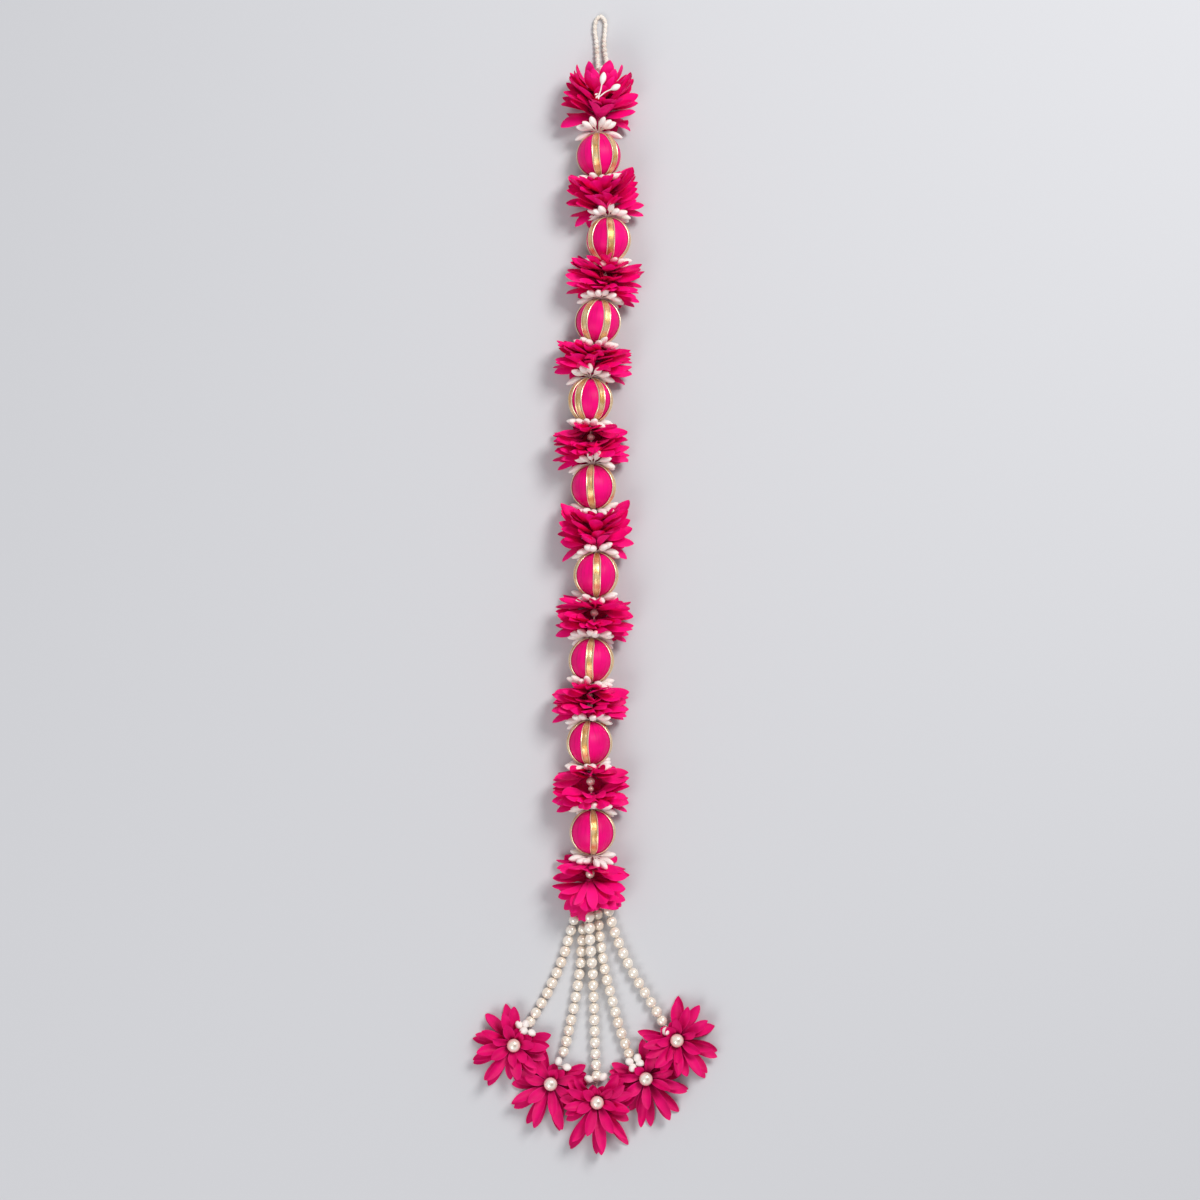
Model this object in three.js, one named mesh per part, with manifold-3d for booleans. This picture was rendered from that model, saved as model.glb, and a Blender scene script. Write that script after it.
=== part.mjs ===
// A hanging garland of made-up magenta flowers, laid out flat on a surface.
//
// Along one string, from the top down: a knotted white loop, then ten layered flowers taking
// turns with nine silk balls under gold ribbons. Every ball has a ring of white buds above and
// below it. Five strands of pearls fan out from the last flower, and each ends in a cluster of
// buds and a face-up flower with a large pearl in its middle.
//
// Millimetres. +X is right, +Y runs along the string towards the loop, +Z points up from the
// surface. The origin lies on the surface, below the middle of the garland's outline.

import * as THREE from "three";
import { mergeVertices } from "three/addons/utils/BufferGeometryUtils.js";
import ManifoldModule from "manifold-3d";

const wasm = await ManifoldModule();
wasm.setup();

// ---------------------------------------------------------------- driving dimensions

const GAP = 0.3; // clearance between pieces that touch

const BALL_RADIUS = 16.5;
const BALL_SIDES = 12;
const BALL_BANDS = [-75, -45, -15, 15, 45, 75]; // latitudes of the rings of corners, degrees
const BALL_BORE = 1.7;
// Where each ball lies, and the angles of its ribbons round the string (0 faces straight up).
const BALLS = [
  { x: 3.8, y: 323.7, ribbons: [-82, -7, 48, 118, -132] },
  { x: 10.6, y: 260.0, ribbons: [-55, 8, 72, 133, -120] },
  { x: 3.0, y: 198.1, ribbons: [-97, -36, 23, 84, 134] },
  { x: -3.0, y: 138.8, ribbons: [-65, -29, 31, 78, 132, -120] },
  { x: -0.2, y: 73.6, ribbons: [-84, -10, 64, 130, -134] },
  { x: 1.5, y: 7.2, ribbons: [-68, 4, 74, 132, -132] },
  { x: -1.9, y: -57.3, ribbons: [-76, -4, 68, 131, -133] },
  { x: -3.5, y: -119.6, ribbons: [-76, -10, 76, 132, -132] },
  { x: -1.1, y: -186.8, ribbons: [-75, 5, 74, 132, -132] },
];

const RIBBON_WIDTH = 6;
const RIBBON_INNER = BALL_RADIUS + GAP;
const RIBBON_THICK = 0.8;

const STRING_RADIUS = 0.7;
const STRING_SIDES = 5;
const FIRST_FLOWER = { x: 4.5, y: 363.3 };
const LAST_FLOWER = { x: -3.0, y: -223.0 };
const STRING_TOP = { x: 6.2, y: 389.0, z: 12.0 };
const STRING_FOOT = { x: 0.0, y: -241.9, z: 11.0 };
const KNOT_RADIUS = 3.2;
const LARGEST_BEAD = 4.0;

const BUD_COLLAR = { inner: 2.1, outer: 3.5, thick: 1.2 };
const BUD_LENGTH = 10.2;
const BUD_RADIUS = 2.4;
const BUDS_PER_RING = 6;
const BUD_LEAN = 2; // degrees away from the ball

const PETALS_PER_LAYER = 8;
const PETAL_LENGTH = 27;
const PETAL_HALF_WIDTH = 4.7;
const PETAL_CUP = 0.8; // how far a petal's edges rise over its middle
const PETAL_KEEL = 0.5; // and how far its midrib stands out below
const HUB_RADIUS = 3.6; // the middle that a layer's petals are rooted in
const HUB_BORE = 1.5;
const HUB_THICK = 1.0;

const STRAND_PEARL = 4.2; // corner radius of a strand pearl
const STRAND_SIDES = 5;
const THREAD_RADIUS = 0.6;
const END_PEARL = 5.0;

// ---------------------------------------------------------------- numbers and vectors

const radians = (degrees) => (degrees * Math.PI) / 180;
const mix = (a, b, t) => a + (b - a) * t;
const clamp = (value, low, high) => Math.min(high, Math.max(low, value));
const vec = (x, y, z) => new THREE.Vector3(x, y, z);
const UP = vec(0, 0, 1);

// Draws between -1 and 1, the same ones every time for the same seed.
function seededDraws(seed) {
  let state = (seed * 7919 + 17) % 2147483647;
  return () => {
    state = (state * 16807) % 2147483647;
    return (2 * state) / 2147483647 - 1;
  };
}

// ---------------------------------------------------------------- closed solids

// The faces between a row of rings. A ring is a list of points, or a single point, and a point
// that comes twice in a ring closes a corner.
function bands(rings) {
  const faces = [];
  for (let i = 0; i + 1 < rings.length; i += 1) {
    const near = rings[i];
    const far = rings[i + 1];
    const corners = Math.max(near.length, far.length);
    for (let j = 0; j < corners; j += 1) {
      const a = near[j % near.length];
      const b = near[(j + 1) % near.length];
      const c = far[(j + 1) % far.length];
      const d = far[j % far.length];
      faces.push([b, a, d], [b, d, c]);
    }
  }
  return faces;
}

// A flat ring of corners as faces, seen with its points running clockwise.
const fan = (ring) => ring.slice(1, -1).map((point, j) => [ring[0], point, ring[j + 2]]);

// A row of rings as one closed solid.
const skin = (rings) => closed([...bands(rings), ...fan(rings[0]), ...fan([...rings.at(-1)].reverse())]);

// Makes a solid of faces that meet at their corners, turned so that they point out.
function closed(faces) {
  const numbers = new Map();
  const corners = [];
  const numberOf = (point) => {
    const key = point.toArray().map((value) => Math.round(value * 1e4)).join();
    if (!numbers.has(key)) {
      numbers.set(key, corners.length);
      corners.push(point);
    }
    return numbers.get(key);
  };
  const triangles = faces
    .map((face) => face.map(numberOf))
    .filter(([a, b, c]) => a !== b && b !== c && c !== a);
  const volume = triangles.reduce((sum, [a, b, c]) => {
    const cross = corners[b].clone().cross(corners[c]);
    return sum + corners[a].dot(cross);
  }, 0);
  const facing = volume < 0 ? triangles.map(([a, b, c]) => [a, c, b]) : triangles;
  const vertProperties = new Float32Array(corners.flatMap((point) => point.toArray()));
  const triVerts = new Uint32Array(facing.flat());
  return new wasm.Manifold(new wasm.Mesh({ numProp: 3, vertProperties, triVerts }));
}

// A three.js geometry as a solid, with its shared corners merged.
function solidOf(geometry) {
  const bare = geometry.clone();
  bare.deleteAttribute("normal");
  bare.deleteAttribute("uv");
  const merged = mergeVertices(bare, 1e-4);
  const triVerts = new Uint32Array(merged.index.array);
  const vertProperties = new Float32Array(merged.attributes.position.array);
  return new wasm.Manifold(new wasm.Mesh({ numProp: 3, vertProperties, triVerts }));
}

const fuse = (solids) => solids.reduce((all, next) => all.add(next));

function geometryOf(solid) {
  const mesh = solid.getMesh();
  const geometry = new THREE.BufferGeometry();
  geometry.setAttribute("position", new THREE.BufferAttribute(mesh.vertProperties, 3));
  geometry.setIndex(new THREE.BufferAttribute(mesh.triVerts, 1));
  geometry.computeVertexNormals();
  return geometry;
}

// ---------------------------------------------------------------- the string's places

// The balls' flat spots lie on the surface, which sets the height of the string.
const FLAT_SPOT_DEPTH = BALL_RADIUS * Math.cos(radians(15)) * Math.cos(Math.PI / BALL_SIDES);
const STRING_HEIGHT = FLAT_SPOT_DEPTH;

const STRING_POINTS = [
  vec(STRING_TOP.x, STRING_TOP.y, STRING_TOP.z),
  vec(FIRST_FLOWER.x, FIRST_FLOWER.y, STRING_HEIGHT),
  ...BALLS.map((ball) => vec(ball.x, ball.y, STRING_HEIGHT)),
  vec(LAST_FLOWER.x, LAST_FLOWER.y, STRING_HEIGHT),
  vec(STRING_FOOT.x, STRING_FOOT.y, STRING_FOOT.z),
];
const STRING_CURVE = new THREE.CatmullRomCurve3(STRING_POINTS, false, "catmullrom", 0.5);
const SPAN_STEPS = 100;
STRING_CURVE.arcLengthDivisions = SPAN_STEPS * (STRING_POINTS.length - 1);
const STRING_LENGTHS = STRING_CURVE.getLengths();

// How much string there is from its top to one of its points.
const lengthTo = (point) => STRING_LENGTHS[point * SPAN_STEPS];

// The place and directions at a length down the string: `along` runs up the string, `up` away
// from the surface and `side` to the right.
function stringPlace(length) {
  const t = STRING_CURVE.getUtoTmapping(0, length);
  const along = STRING_CURVE.getTangent(t).negate();
  const side = along.clone().cross(UP).normalize();
  return { origin: STRING_CURVE.getPoint(t), along, side, up: side.clone().cross(along) };
}

// A point at a distance up the string from a place, and away from it at an angle round it.
function pointAt(place, distance, away = 0, angle = 0) {
  return place.origin
    .clone()
    .addScaledVector(place.along, distance)
    .addScaledVector(outward(place, angle), away);
}

function outward(place, angle) {
  const turn = radians(angle);
  return place.up
    .clone()
    .multiplyScalar(Math.cos(turn))
    .addScaledVector(place.side, Math.sin(turn));
}

// A bored hub across the string, as faces, with limbs growing from some of its sides. It has one
// or more tiers: `angles` are the corners of a tier, and `upper` and `lower` the [distance, radius]
// of its two outlines. A limb is a row of rings that starts at its side, and `true` leaves the
// side open for a limb that comes from elsewhere.
function hub(place, { tiers, bore, boreSides }) {
  const outline = (angles, [distance, radius]) =>
    angles.map((angle) => pointAt(place, distance, radius, angle));
  const hole = (distance) =>
    Array.from({ length: boreSides }, (_, j) => pointAt(place, distance, bore, (j * 360) / boreSides));
  const top = tiers[0];
  const bottom = tiers[tiers.length - 1];
  const [topHole, lowHole] = [hole(top.upper[0]), hole(bottom.lower[0])];
  const flip = (triangles) => triangles.map(([a, b, c]) => [a, c, b]);
  const faces = [
    ...annulus(top.angles, outline(top.angles, top.upper), topHole),
    ...flip(annulus(bottom.angles, outline(bottom.angles, bottom.lower), lowHole)),
  ];
  tiers.forEach(({ angles, upper, lower, limbs }, i) => {
    const [topRim, lowRim] = [outline(angles, upper), outline(angles, lower)];
    angles.forEach((_, j) => {
      const next = (j + 1) % angles.length;
      const side = [topRim[j], topRim[next], lowRim[next], lowRim[j]];
      if (Array.isArray(limbs[j])) faces.push(...bands([side, ...limbs[j]]));
      else if (!limbs[j]) faces.push(...fan([...side].reverse()));
    });
    const beyond = tiers[i + 1];
    if (beyond) faces.push(...bands([lowRim, outline(beyond.angles, beyond.upper)]));
  });
  for (let j = 0; j < boreSides; j += 1) {
    const next = (j + 1) % boreSides;
    faces.push([topHole[j], topHole[next], lowHole[next]], [topHole[j], lowHole[next], lowHole[j]]);
  }
  return faces;
}

// The flat face between a hub's outline and its hole.
function annulus(angles, rim, hole) {
  const faces = [];
  const nearest = angles.map((angle, j) => {
    const next = j + 1 < angles.length ? angles[j + 1] : angles[0] + 360;
    return Math.round(((angle + next) / 2 / 360) * hole.length + hole.length) % hole.length;
  });
  rim.forEach((corner, j) => {
    const next = (j + 1) % rim.length;
    faces.push([corner, rim[next], hole[nearest[j]]]);
    for (let at = nearest[j]; at !== nearest[next]; at = (at + 1) % hole.length) {
      faces.push([rim[next], hole[(at + 1) % hole.length], hole[at]]);
    }
  });
  return faces;
}

const ballPlaces = BALLS.map((ball, i) => stringPlace(lengthTo(i + 2)));

// A flower's middle is halfway between its balls, or on its own point near an end of the string.
function flowerLength(i) {
  if (i === 0) return lengthTo(1);
  if (i === BALLS.length) return lengthTo(i + 2);
  return (lengthTo(i + 1) + lengthTo(i + 2)) / 2;
}

// The place at a distance up the string from a flower's middle. The string bends gently there,
// so each layer and bead of a flower has its own place.
const flowerPlace = (i, distance) => stringPlace(flowerLength(i) - distance);

// ---------------------------------------------------------------- petals

// One petal's rings, from its place on the plate to its tip: a blade with a midrib. Its middle
// line starts `root` from `origin` in the direction `out` and leans to the side `sign` of the
// plate, by an angle that changes evenly from lift[0] to lift[1] degrees. Near the surface it may
// only sink as fast as its height allows, so it turns towards `lay` and comes to lie flat.
const PATH_STEPS = 36;
const SURFACE_REST = 0.9; // height of the middle line of a petal that lies flat
const SURFACE_EASE = 5; // how gradually it gets there
function petal({ origin, out, along, sign, lay, lift, length, half, rings, twist = 0 }) {
  const edge = along.clone().cross(out).normalize();
  const at = origin.clone().addScaledVector(out, HUB_RADIUS);
  const ds = length / PATH_STEPS;
  const stations = rings.map((ring) => Math.round(ring.at * PATH_STEPS));
  const made = [];
  for (let i = 0; i <= PATH_STEPS; i += 1) {
    const angle = radians(mix(lift[0], lift[1], i / PATH_STEPS));
    let ahead = out.clone().multiplyScalar(Math.cos(angle)).addScaledVector(along, sign * Math.sin(angle));
    const sink = clamp((at.z - SURFACE_REST) / SURFACE_EASE, 0, 1);
    if (-ahead.z > sink) ahead = laidDown(ahead, lay, sink);
    const k = stations.indexOf(i);
    if (k >= 0) made.push(petalRing(at, ahead, edge, sign, half * rings[k].width, twist));
    at.addScaledVector(ahead, ds);
  }
  return made;
}

// Turns a direction towards `lay` until it sinks by no more than `sink` for each millimetre.
function laidDown(ahead, lay, sink) {
  const flat = vec(ahead.x, ahead.y, 0);
  const level = Math.sqrt(1 - sink * sink);
  const b = flat.dot(lay);
  const k = -b + Math.sqrt(Math.max(0, b * b - flat.lengthSq() + level * level));
  flat.addScaledVector(lay, k).setLength(level);
  return flat.setZ(-sink);
}

// The ring of a petal at a point: two edges, which are raised to the side that it leans to, and
// the midrib, or the point alone at the tip. Near the surface the ring turns level.
function petalRing(at, ahead, edge, sign, half, twist) {
  if (half === 0) return [at.clone()];
  const room = clamp((at.z - SURFACE_REST) / half, 0, 1);
  const across = edge.clone().addScaledVector(ahead, -edge.dot(ahead)).normalize();
  if (Math.abs(across.z) > room) {
    const level = UP.clone().cross(ahead).normalize();
    if (level.dot(across) < 0) level.negate();
    const share = 1 - room / Math.abs(across.z);
    across.multiplyScalar(1 - share).addScaledVector(level, share).normalize();
  }
  across.applyAxisAngle(ahead, twist * clamp((at.z - half - SURFACE_REST) / half, 0, 1));
  const face = ahead.clone().cross(across).multiplyScalar(sign);
  const [left, right] = [-half, half].map((to) =>
    at.clone().addScaledVector(across, to).addScaledVector(face, PETAL_CUP),
  );
  const rib = at.clone().addScaledVector(face, -PETAL_KEEL);
  return sign > 0 ? [left, right, rib, rib] : [rib, rib, right, left];
}

// Where along a petal its rings are, and how wide it is there. A curled petal has one ring more.
const CURLED = [
  { at: 0.34, width: 0.8 },
  { at: 0.7, width: 1 },
  { at: 1, width: 0 },
];
const STRAIGHT = [
  { at: 0.6, width: 1 },
  { at: 1, width: 0 },
];

// ---------------------------------------------------------------- column flowers

// How far a layer's petals lean: they pass round the buds first and then curve away. `crown` is
// added at the end of the topmost layer, and `skirt` at the end of the lowest.
const OUTER_LIFT = [-50, 76];
const INNER_LIFT = [2, 14];

const FLOWER_STYLES = [
  { layers: 4, crown: 26, skirt: 0 },
  { layers: 4, crown: 18, skirt: 0 },
  { layers: 3, crown: 0, skirt: 0 },
  { layers: 3, crown: 0, skirt: -6 },
  { layers: 3, crown: -6, skirt: 0 },
  { layers: 4, crown: 22, skirt: 0 },
  { layers: 3, crown: 0, skirt: 0 },
  { layers: 4, crown: -4, skirt: 0 },
  { layers: 4, crown: 0, skirt: -4 },
  { layers: 4, crown: 0, skirt: 16 },
];

// Along the string, a ball takes up this much on each side, with its ribbons and buds.
const HUB_ROOM = 1.3; // between a bud ring and the nearest layer of petals
const TRIM_END = (RIBBON_INNER + RIBBON_THICK) * Math.sin(radians(BALL_BANDS.at(-1)));
const COLLAR_MIDDLE = TRIM_END + GAP + BUD_COLLAR.thick / 2;
const HUB_FROM_BALL = COLLAR_MIDDLE + BUD_COLLAR.thick / 2 + HUB_ROOM + HUB_THICK / 2;
const FREE_SPAN = 12.6; // half height of the two end flowers, which have one ball only

// Half the height of a flower's stack of layers, from its place between two balls.
function stackHalf(i) {
  if (i === 0 || i === BALLS.length) return FREE_SPAN;
  return (lengthTo(i + 2) - lengthTo(i + 1)) / 2 - HUB_FROM_BALL;
}

// Where a flower's layers are, from the top down, and the size of the beads between them.
const layerOffset = (i, layer) => stackHalf(i) * (1 - (2 * layer) / (FLOWER_STYLES[i].layers - 1));
const beadRadius = (i) =>
  Math.min(LARGEST_BEAD, stackHalf(i) / (FLOWER_STYLES[i].layers - 1) - HUB_THICK / 2 - GAP);

// The corners and outlines of the small hub that a layer's petals grow from, one from each side.
const layerAngles = (firstAngle, count) =>
  Array.from({ length: count }, (_, k) => firstAngle + ((k - 0.5) * 360) / count);
const layerTier = (firstAngle, limbs, middle = 0, thick = HUB_THICK) => ({
  angles: layerAngles(firstAngle, limbs.length),
  upper: [middle + thick / 2, HUB_RADIUS],
  lower: [middle - thick / 2, HUB_RADIUS],
  limbs,
});

// Links join the layers of a flower on its lower side, round the beads. A link takes the place
// of a petal on both layers: the numbers are those of its sides, on an even layer and an odd one.
const LINK_BELOW = [4, 4];
const LINK_ABOVE = [5, 3];
const LINK_HALF_WIDTH = 1.2;
const LINK_THICK = 1.0;

// The rings of the link from a layer to the next one down.
function layerLink(i, layer, firstAngles) {
  const middle = (layerOffset(i, layer) + layerOffset(i, layer + 1)) / 2;
  const sideOf = (at, side) => {
    const angles = layerAngles(firstAngles[at], PETALS_PER_LAYER);
    return [angles[side], angles[side] + 360 / PETALS_PER_LAYER];
  };
  const [left, right] = sideOf(layer + 1, LINK_ABOVE[(layer + 1) % 2]);
  const [leftBefore, rightBefore] = sideOf(layer, LINK_BELOW[layer % 2]);
  const angle = (left + right + leftBefore + rightBefore) / 4;
  const corner = (away, side) =>
    pointAt(flowerPlace(i, middle), 0, away, angle + (side * 180 * LINK_HALF_WIDTH) / (away * Math.PI));
  const inner = beadRadius(i) + 3 * GAP;
  const outer = inner + LINK_THICK;
  const below = flowerPlace(i, layerOffset(i, layer + 1));
  return [
    [corner(outer, -1), corner(outer, 1), corner(inner, 1), corner(inner, -1)],
    [
      pointAt(below, -HUB_THICK / 2, HUB_RADIUS, left),
      pointAt(below, -HUB_THICK / 2, HUB_RADIUS, right),
      pointAt(below, HUB_THICK / 2, HUB_RADIUS, right),
      pointAt(below, HUB_THICK / 2, HUB_RADIUS, left),
    ],
  ];
}

function columnFlower(i) {
  const { layers, crown, skirt } = FLOWER_STYLES[i];
  const draw = seededDraws(i + 1);
  const pitch = 360 / PETALS_PER_LAYER;
  const firstAngles = Array.from({ length: layers }, (_, layer) => (layer % 2 ? 0.75 : 0.25) * pitch);
  const faces = [];
  for (let layer = 0; layer < layers; layer += 1) {
    const place = flowerPlace(i, layerOffset(i, layer));
    const outer = layer === 0 || layer === layers - 1;
    const sign = layer < (layers - 1) / 2 || (layer === 1 && i % 2) ? 1 : -1;
    const lay = place.along.clone().setZ(0).setLength(sign);
    const extra = sign > 0 ? crown : skirt;
    const limbs = [];
    for (let k = 0; k < PETALS_PER_LAYER; k += 1) {
      const out = outward(place, firstAngles[layer] + k * pitch + 3 * draw());
      const below = clamp((-out.z - 0.3) / 0.5, 0, 1); // 1 where a petal points at the surface
      const lift = outer
        ? [OUTER_LIFT[0] + 3 * draw(), OUTER_LIFT[1] + extra + 8 * draw()]
        : [INNER_LIFT[0] + 4 * draw(), INNER_LIFT[1] + 8 * draw()];
      limbs.push(
        petal({
          origin: place.origin,
          out,
          along: place.along,
          sign,
          lay,
          lift,
          length: (PETAL_LENGTH + 1.4 * draw()) * mix(1, outer ? 0.8 : 0.66, below),
          half: PETAL_HALF_WIDTH + 0.3 * draw(),
          rings: outer ? CURLED : STRAIGHT,
          twist: 0.25 * draw(),
        }),
      );
    }
    if (layer > 0) limbs[LINK_ABOVE[layer % 2]] = true;
    if (layer < layers - 1) limbs[LINK_BELOW[layer % 2]] = layerLink(i, layer, firstAngles);
    const tiers = [layerTier(firstAngles[layer], limbs)];
    faces.push(...hub(place, { tiers, bore: HUB_BORE, boreSides: 4 }));
  }
  return closed(faces);
}

// ---------------------------------------------------------------- balls and ribbons

// The ball's outline from pole to pole, closed along its bore. The middle band is a row of flat
// faces, and the ball rests on one of them.
function ballGeometry() {
  const outline = BALL_BANDS.map((latitude) => {
    const angle = radians(latitude);
    return new THREE.Vector2(BALL_RADIUS * Math.cos(angle), BALL_RADIUS * Math.sin(angle));
  });
  const pole = BALL_RADIUS * Math.sin(radians(75));
  outline.unshift(new THREE.Vector2(BALL_BORE, -pole));
  outline.push(new THREE.Vector2(BALL_BORE, pole), new THREE.Vector2(BALL_BORE, -pole));
  return new THREE.LatheGeometry(outline, BALL_SIDES, Math.PI / BALL_SIDES);
}

// The piece's own frame, for pieces that are made at the origin with the string along +Y.
const OWN_PLACE = { origin: vec(0, 0, 0), along: vec(0, 1, 0), up: UP, side: vec(1, 0, 0) };

// The ribbons of one ball, joined at each pole by a plate. Each lies over the ball from pole to
// pole, on the same latitudes as the ball's corners, and is gathered where it meets the plates.
const GATHERED_HALF_WIDTH = 1.3;
const RIBBON_OUTER = RIBBON_INNER + RIBBON_THICK;
function goldTrim(ball) {
  const radians75 = radians(BALL_BANDS.at(-1));
  const poleOf = (radius) => [radius * Math.sin(radians75), radius * Math.cos(radians75)];
  const [innerAt, innerFrom] = poleOf(RIBBON_INNER);
  const [outerAt, outerFrom] = poleOf(RIBBON_OUTER);
  const cornerRadius = (from) => Math.hypot(from, GATHERED_HALF_WIDTH);
  const spread = (Math.atan2(GATHERED_HALF_WIDTH, (innerFrom + outerFrom) / 2) * 180) / Math.PI;
  const ordered = [...ball.ribbons].sort((a, b) => a - b);
  const angles = ordered.flatMap((angle) => [angle - spread, angle + spread]);
  const inner = cornerRadius(innerFrom);
  const outer = cornerRadius(outerFrom);
  const ring = (angle, latitude) => {
    const turn = radians(latitude);
    const across = outward(OWN_PLACE, angle + 90).multiplyScalar(RIBBON_WIDTH / 2);
    const corner = (radius, side) =>
      pointAt(OWN_PLACE, radius * Math.sin(turn), radius * Math.cos(turn), angle).addScaledVector(across, side);
    return [
      corner(RIBBON_OUTER, -1),
      corner(RIBBON_OUTER, 1),
      corner(RIBBON_INNER, 1),
      corner(RIBBON_INNER, -1),
    ];
  };
  const poleRing = (angle) => {
    const [left, right] = [angle - spread, angle + spread];
    return [
      pointAt(OWN_PLACE, -outerAt, outer, left),
      pointAt(OWN_PLACE, -outerAt, outer, right),
      pointAt(OWN_PLACE, -innerAt, inner, right),
      pointAt(OWN_PLACE, -innerAt, inner, left),
    ];
  };
  const bend = BALL_BANDS.slice(1, -1).reverse();
  const limbs = ordered.flatMap((angle) => [
    [...bend.map((latitude) => ring(angle, latitude)), poleRing(angle)],
    null,
  ]);
  const open = limbs.map((limb) => limb !== null);
  const above = { angles, upper: [outerAt, outer], lower: [innerAt, inner], limbs };
  const below = { angles, upper: [-innerAt, inner], lower: [-outerAt, outer], limbs: open };
  return closed(
    [above, below].flatMap((tier) => hub(OWN_PLACE, { tiers: [tier], bore: BALL_BORE, boreSides: 5 })),
  );
}

// ---------------------------------------------------------------- buds

// A pointed bud from `root`, in a direction, as a long diamond.
const BUD_SIDES = 4;
function bud(root, ahead, length, radius) {
  const across = Math.abs(ahead.z) > 0.9 ? vec(1, 0, 0) : UP.clone();
  across.addScaledVector(ahead, -across.dot(ahead)).normalize();
  const widest = root.clone().addScaledVector(ahead, length * 0.58);
  const ring = [];
  for (let j = 0; j < BUD_SIDES; j += 1) {
    const arm = across.clone().applyAxisAngle(ahead, ((j + 0.5) * 2 * Math.PI) / BUD_SIDES);
    ring.push(widest.clone().addScaledVector(arm, radius));
  }
  return skin([[root.clone()], ring, [root.clone().addScaledVector(ahead, length)]]);
}

// A ring of buds round the string, growing from the sides of a small collar. `sign` is 1 above
// a ball and -1 below it.
function budRing(sign) {
  const middle = sign * COLLAR_MIDDLE;
  const pitch = 360 / BUDS_PER_RING;
  const lean = radians(BUD_LEAN);
  const angles = [];
  const limbs = [];
  for (let k = 0; k < BUDS_PER_RING; k += 1) {
    const angle = 180 + (k + 0.5) * pitch;
    const out = outward(OWN_PLACE, angle);
    const ahead = out.clone().multiplyScalar(Math.cos(lean)).setY(sign * Math.sin(lean));
    const root = pointAt(OWN_PLACE, middle, 2.1, angle);
    const widest = root.clone().addScaledVector(ahead, BUD_LENGTH * 0.58);
    const across = OWN_PLACE.along.clone().cross(out);
    const rise = ahead.clone().cross(across);
    const corner = (right, up) =>
      widest
        .clone()
        .addScaledVector(across, right * BUD_RADIUS * Math.SQRT1_2)
        .addScaledVector(rise, up * BUD_RADIUS * Math.SQRT1_2);
    angles.push(angle - pitch / 2);
    limbs.push([
      [corner(-1, 1), corner(1, 1), corner(1, -1), corner(-1, -1)],
      [root.clone().addScaledVector(ahead, BUD_LENGTH)],
    ]);
  }
  const tier = {
    angles,
    upper: [middle + BUD_COLLAR.thick / 2, BUD_COLLAR.outer],
    lower: [middle - BUD_COLLAR.thick / 2, BUD_COLLAR.outer],
    limbs,
  };
  return closed(hub(OWN_PLACE, { tiers: [tier], bore: BUD_COLLAR.inner, boreSides: 4 }));
}

// The two buds that show on the first flower, on a collar above its topmost layer.
const TOP_COLLAR_RADIUS = 3.6;
const TOP_COLLAR_OFFSET = stackHalf(0) + HUB_THICK / 2 + GAP + BUD_COLLAR.thick / 2;
const TOP_BUDS = [
  { angle: -8, lean: 12, length: 14.5 },
  { angle: 40, lean: 4, length: 14.5 },
];
function topBuds() {
  const place = flowerPlace(0, TOP_COLLAR_OFFSET);
  const tier = {
    angles: [45, 135, 225, 315],
    upper: [BUD_COLLAR.thick / 2, TOP_COLLAR_RADIUS],
    lower: [-BUD_COLLAR.thick / 2, TOP_COLLAR_RADIUS],
    limbs: [null, null, null, null],
  };
  const collar = closed(hub(place, { tiers: [tier], bore: HUB_BORE, boreSides: 4 }));
  const buds = TOP_BUDS.map(({ angle, lean, length }) => {
    const turn = radians(lean);
    const ahead = outward(place, angle).multiplyScalar(Math.cos(turn));
    ahead.addScaledVector(place.along, Math.sin(turn));
    return bud(pointAt(place, 0, 2, angle), ahead, length, BUD_RADIUS);
  });
  return fuse([collar, ...buds]);
}

// ---------------------------------------------------------------- cords with beads

// A tube of changing thickness: each stop has a point, a radius and, on a bead, the direction of
// the bead's hole. Its rings keep a side down.
const STEEP = 0.9;
function beadedCord(stops, sides) {
  const across = vec(0, 0, 0);
  const rings = stops.map((stop, i) => {
    const before = stops[Math.max(0, i - 1)].point;
    const after = stops[Math.min(stops.length - 1, i + 1)].point;
    const ahead = stop.ahead ?? after.clone().sub(before).normalize();
    if (Math.abs(ahead.z) < STEEP) across.copy(ahead).cross(UP).normalize();
    else across.addScaledVector(ahead, -across.dot(ahead)).normalize();
    const rise = across.clone().cross(ahead);
    const ring = [];
    for (let j = 0; j < sides; j += 1) {
      const turn = ((j + 0.5) * 2 * Math.PI) / sides;
      ring.push(
        stop.point
          .clone()
          .addScaledVector(across, stop.radius * Math.sin(turn))
          .addScaledVector(rise, -stop.radius * Math.cos(turn)),
      );
    }
    return ring;
  });
  return skin(rings);
}

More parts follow.
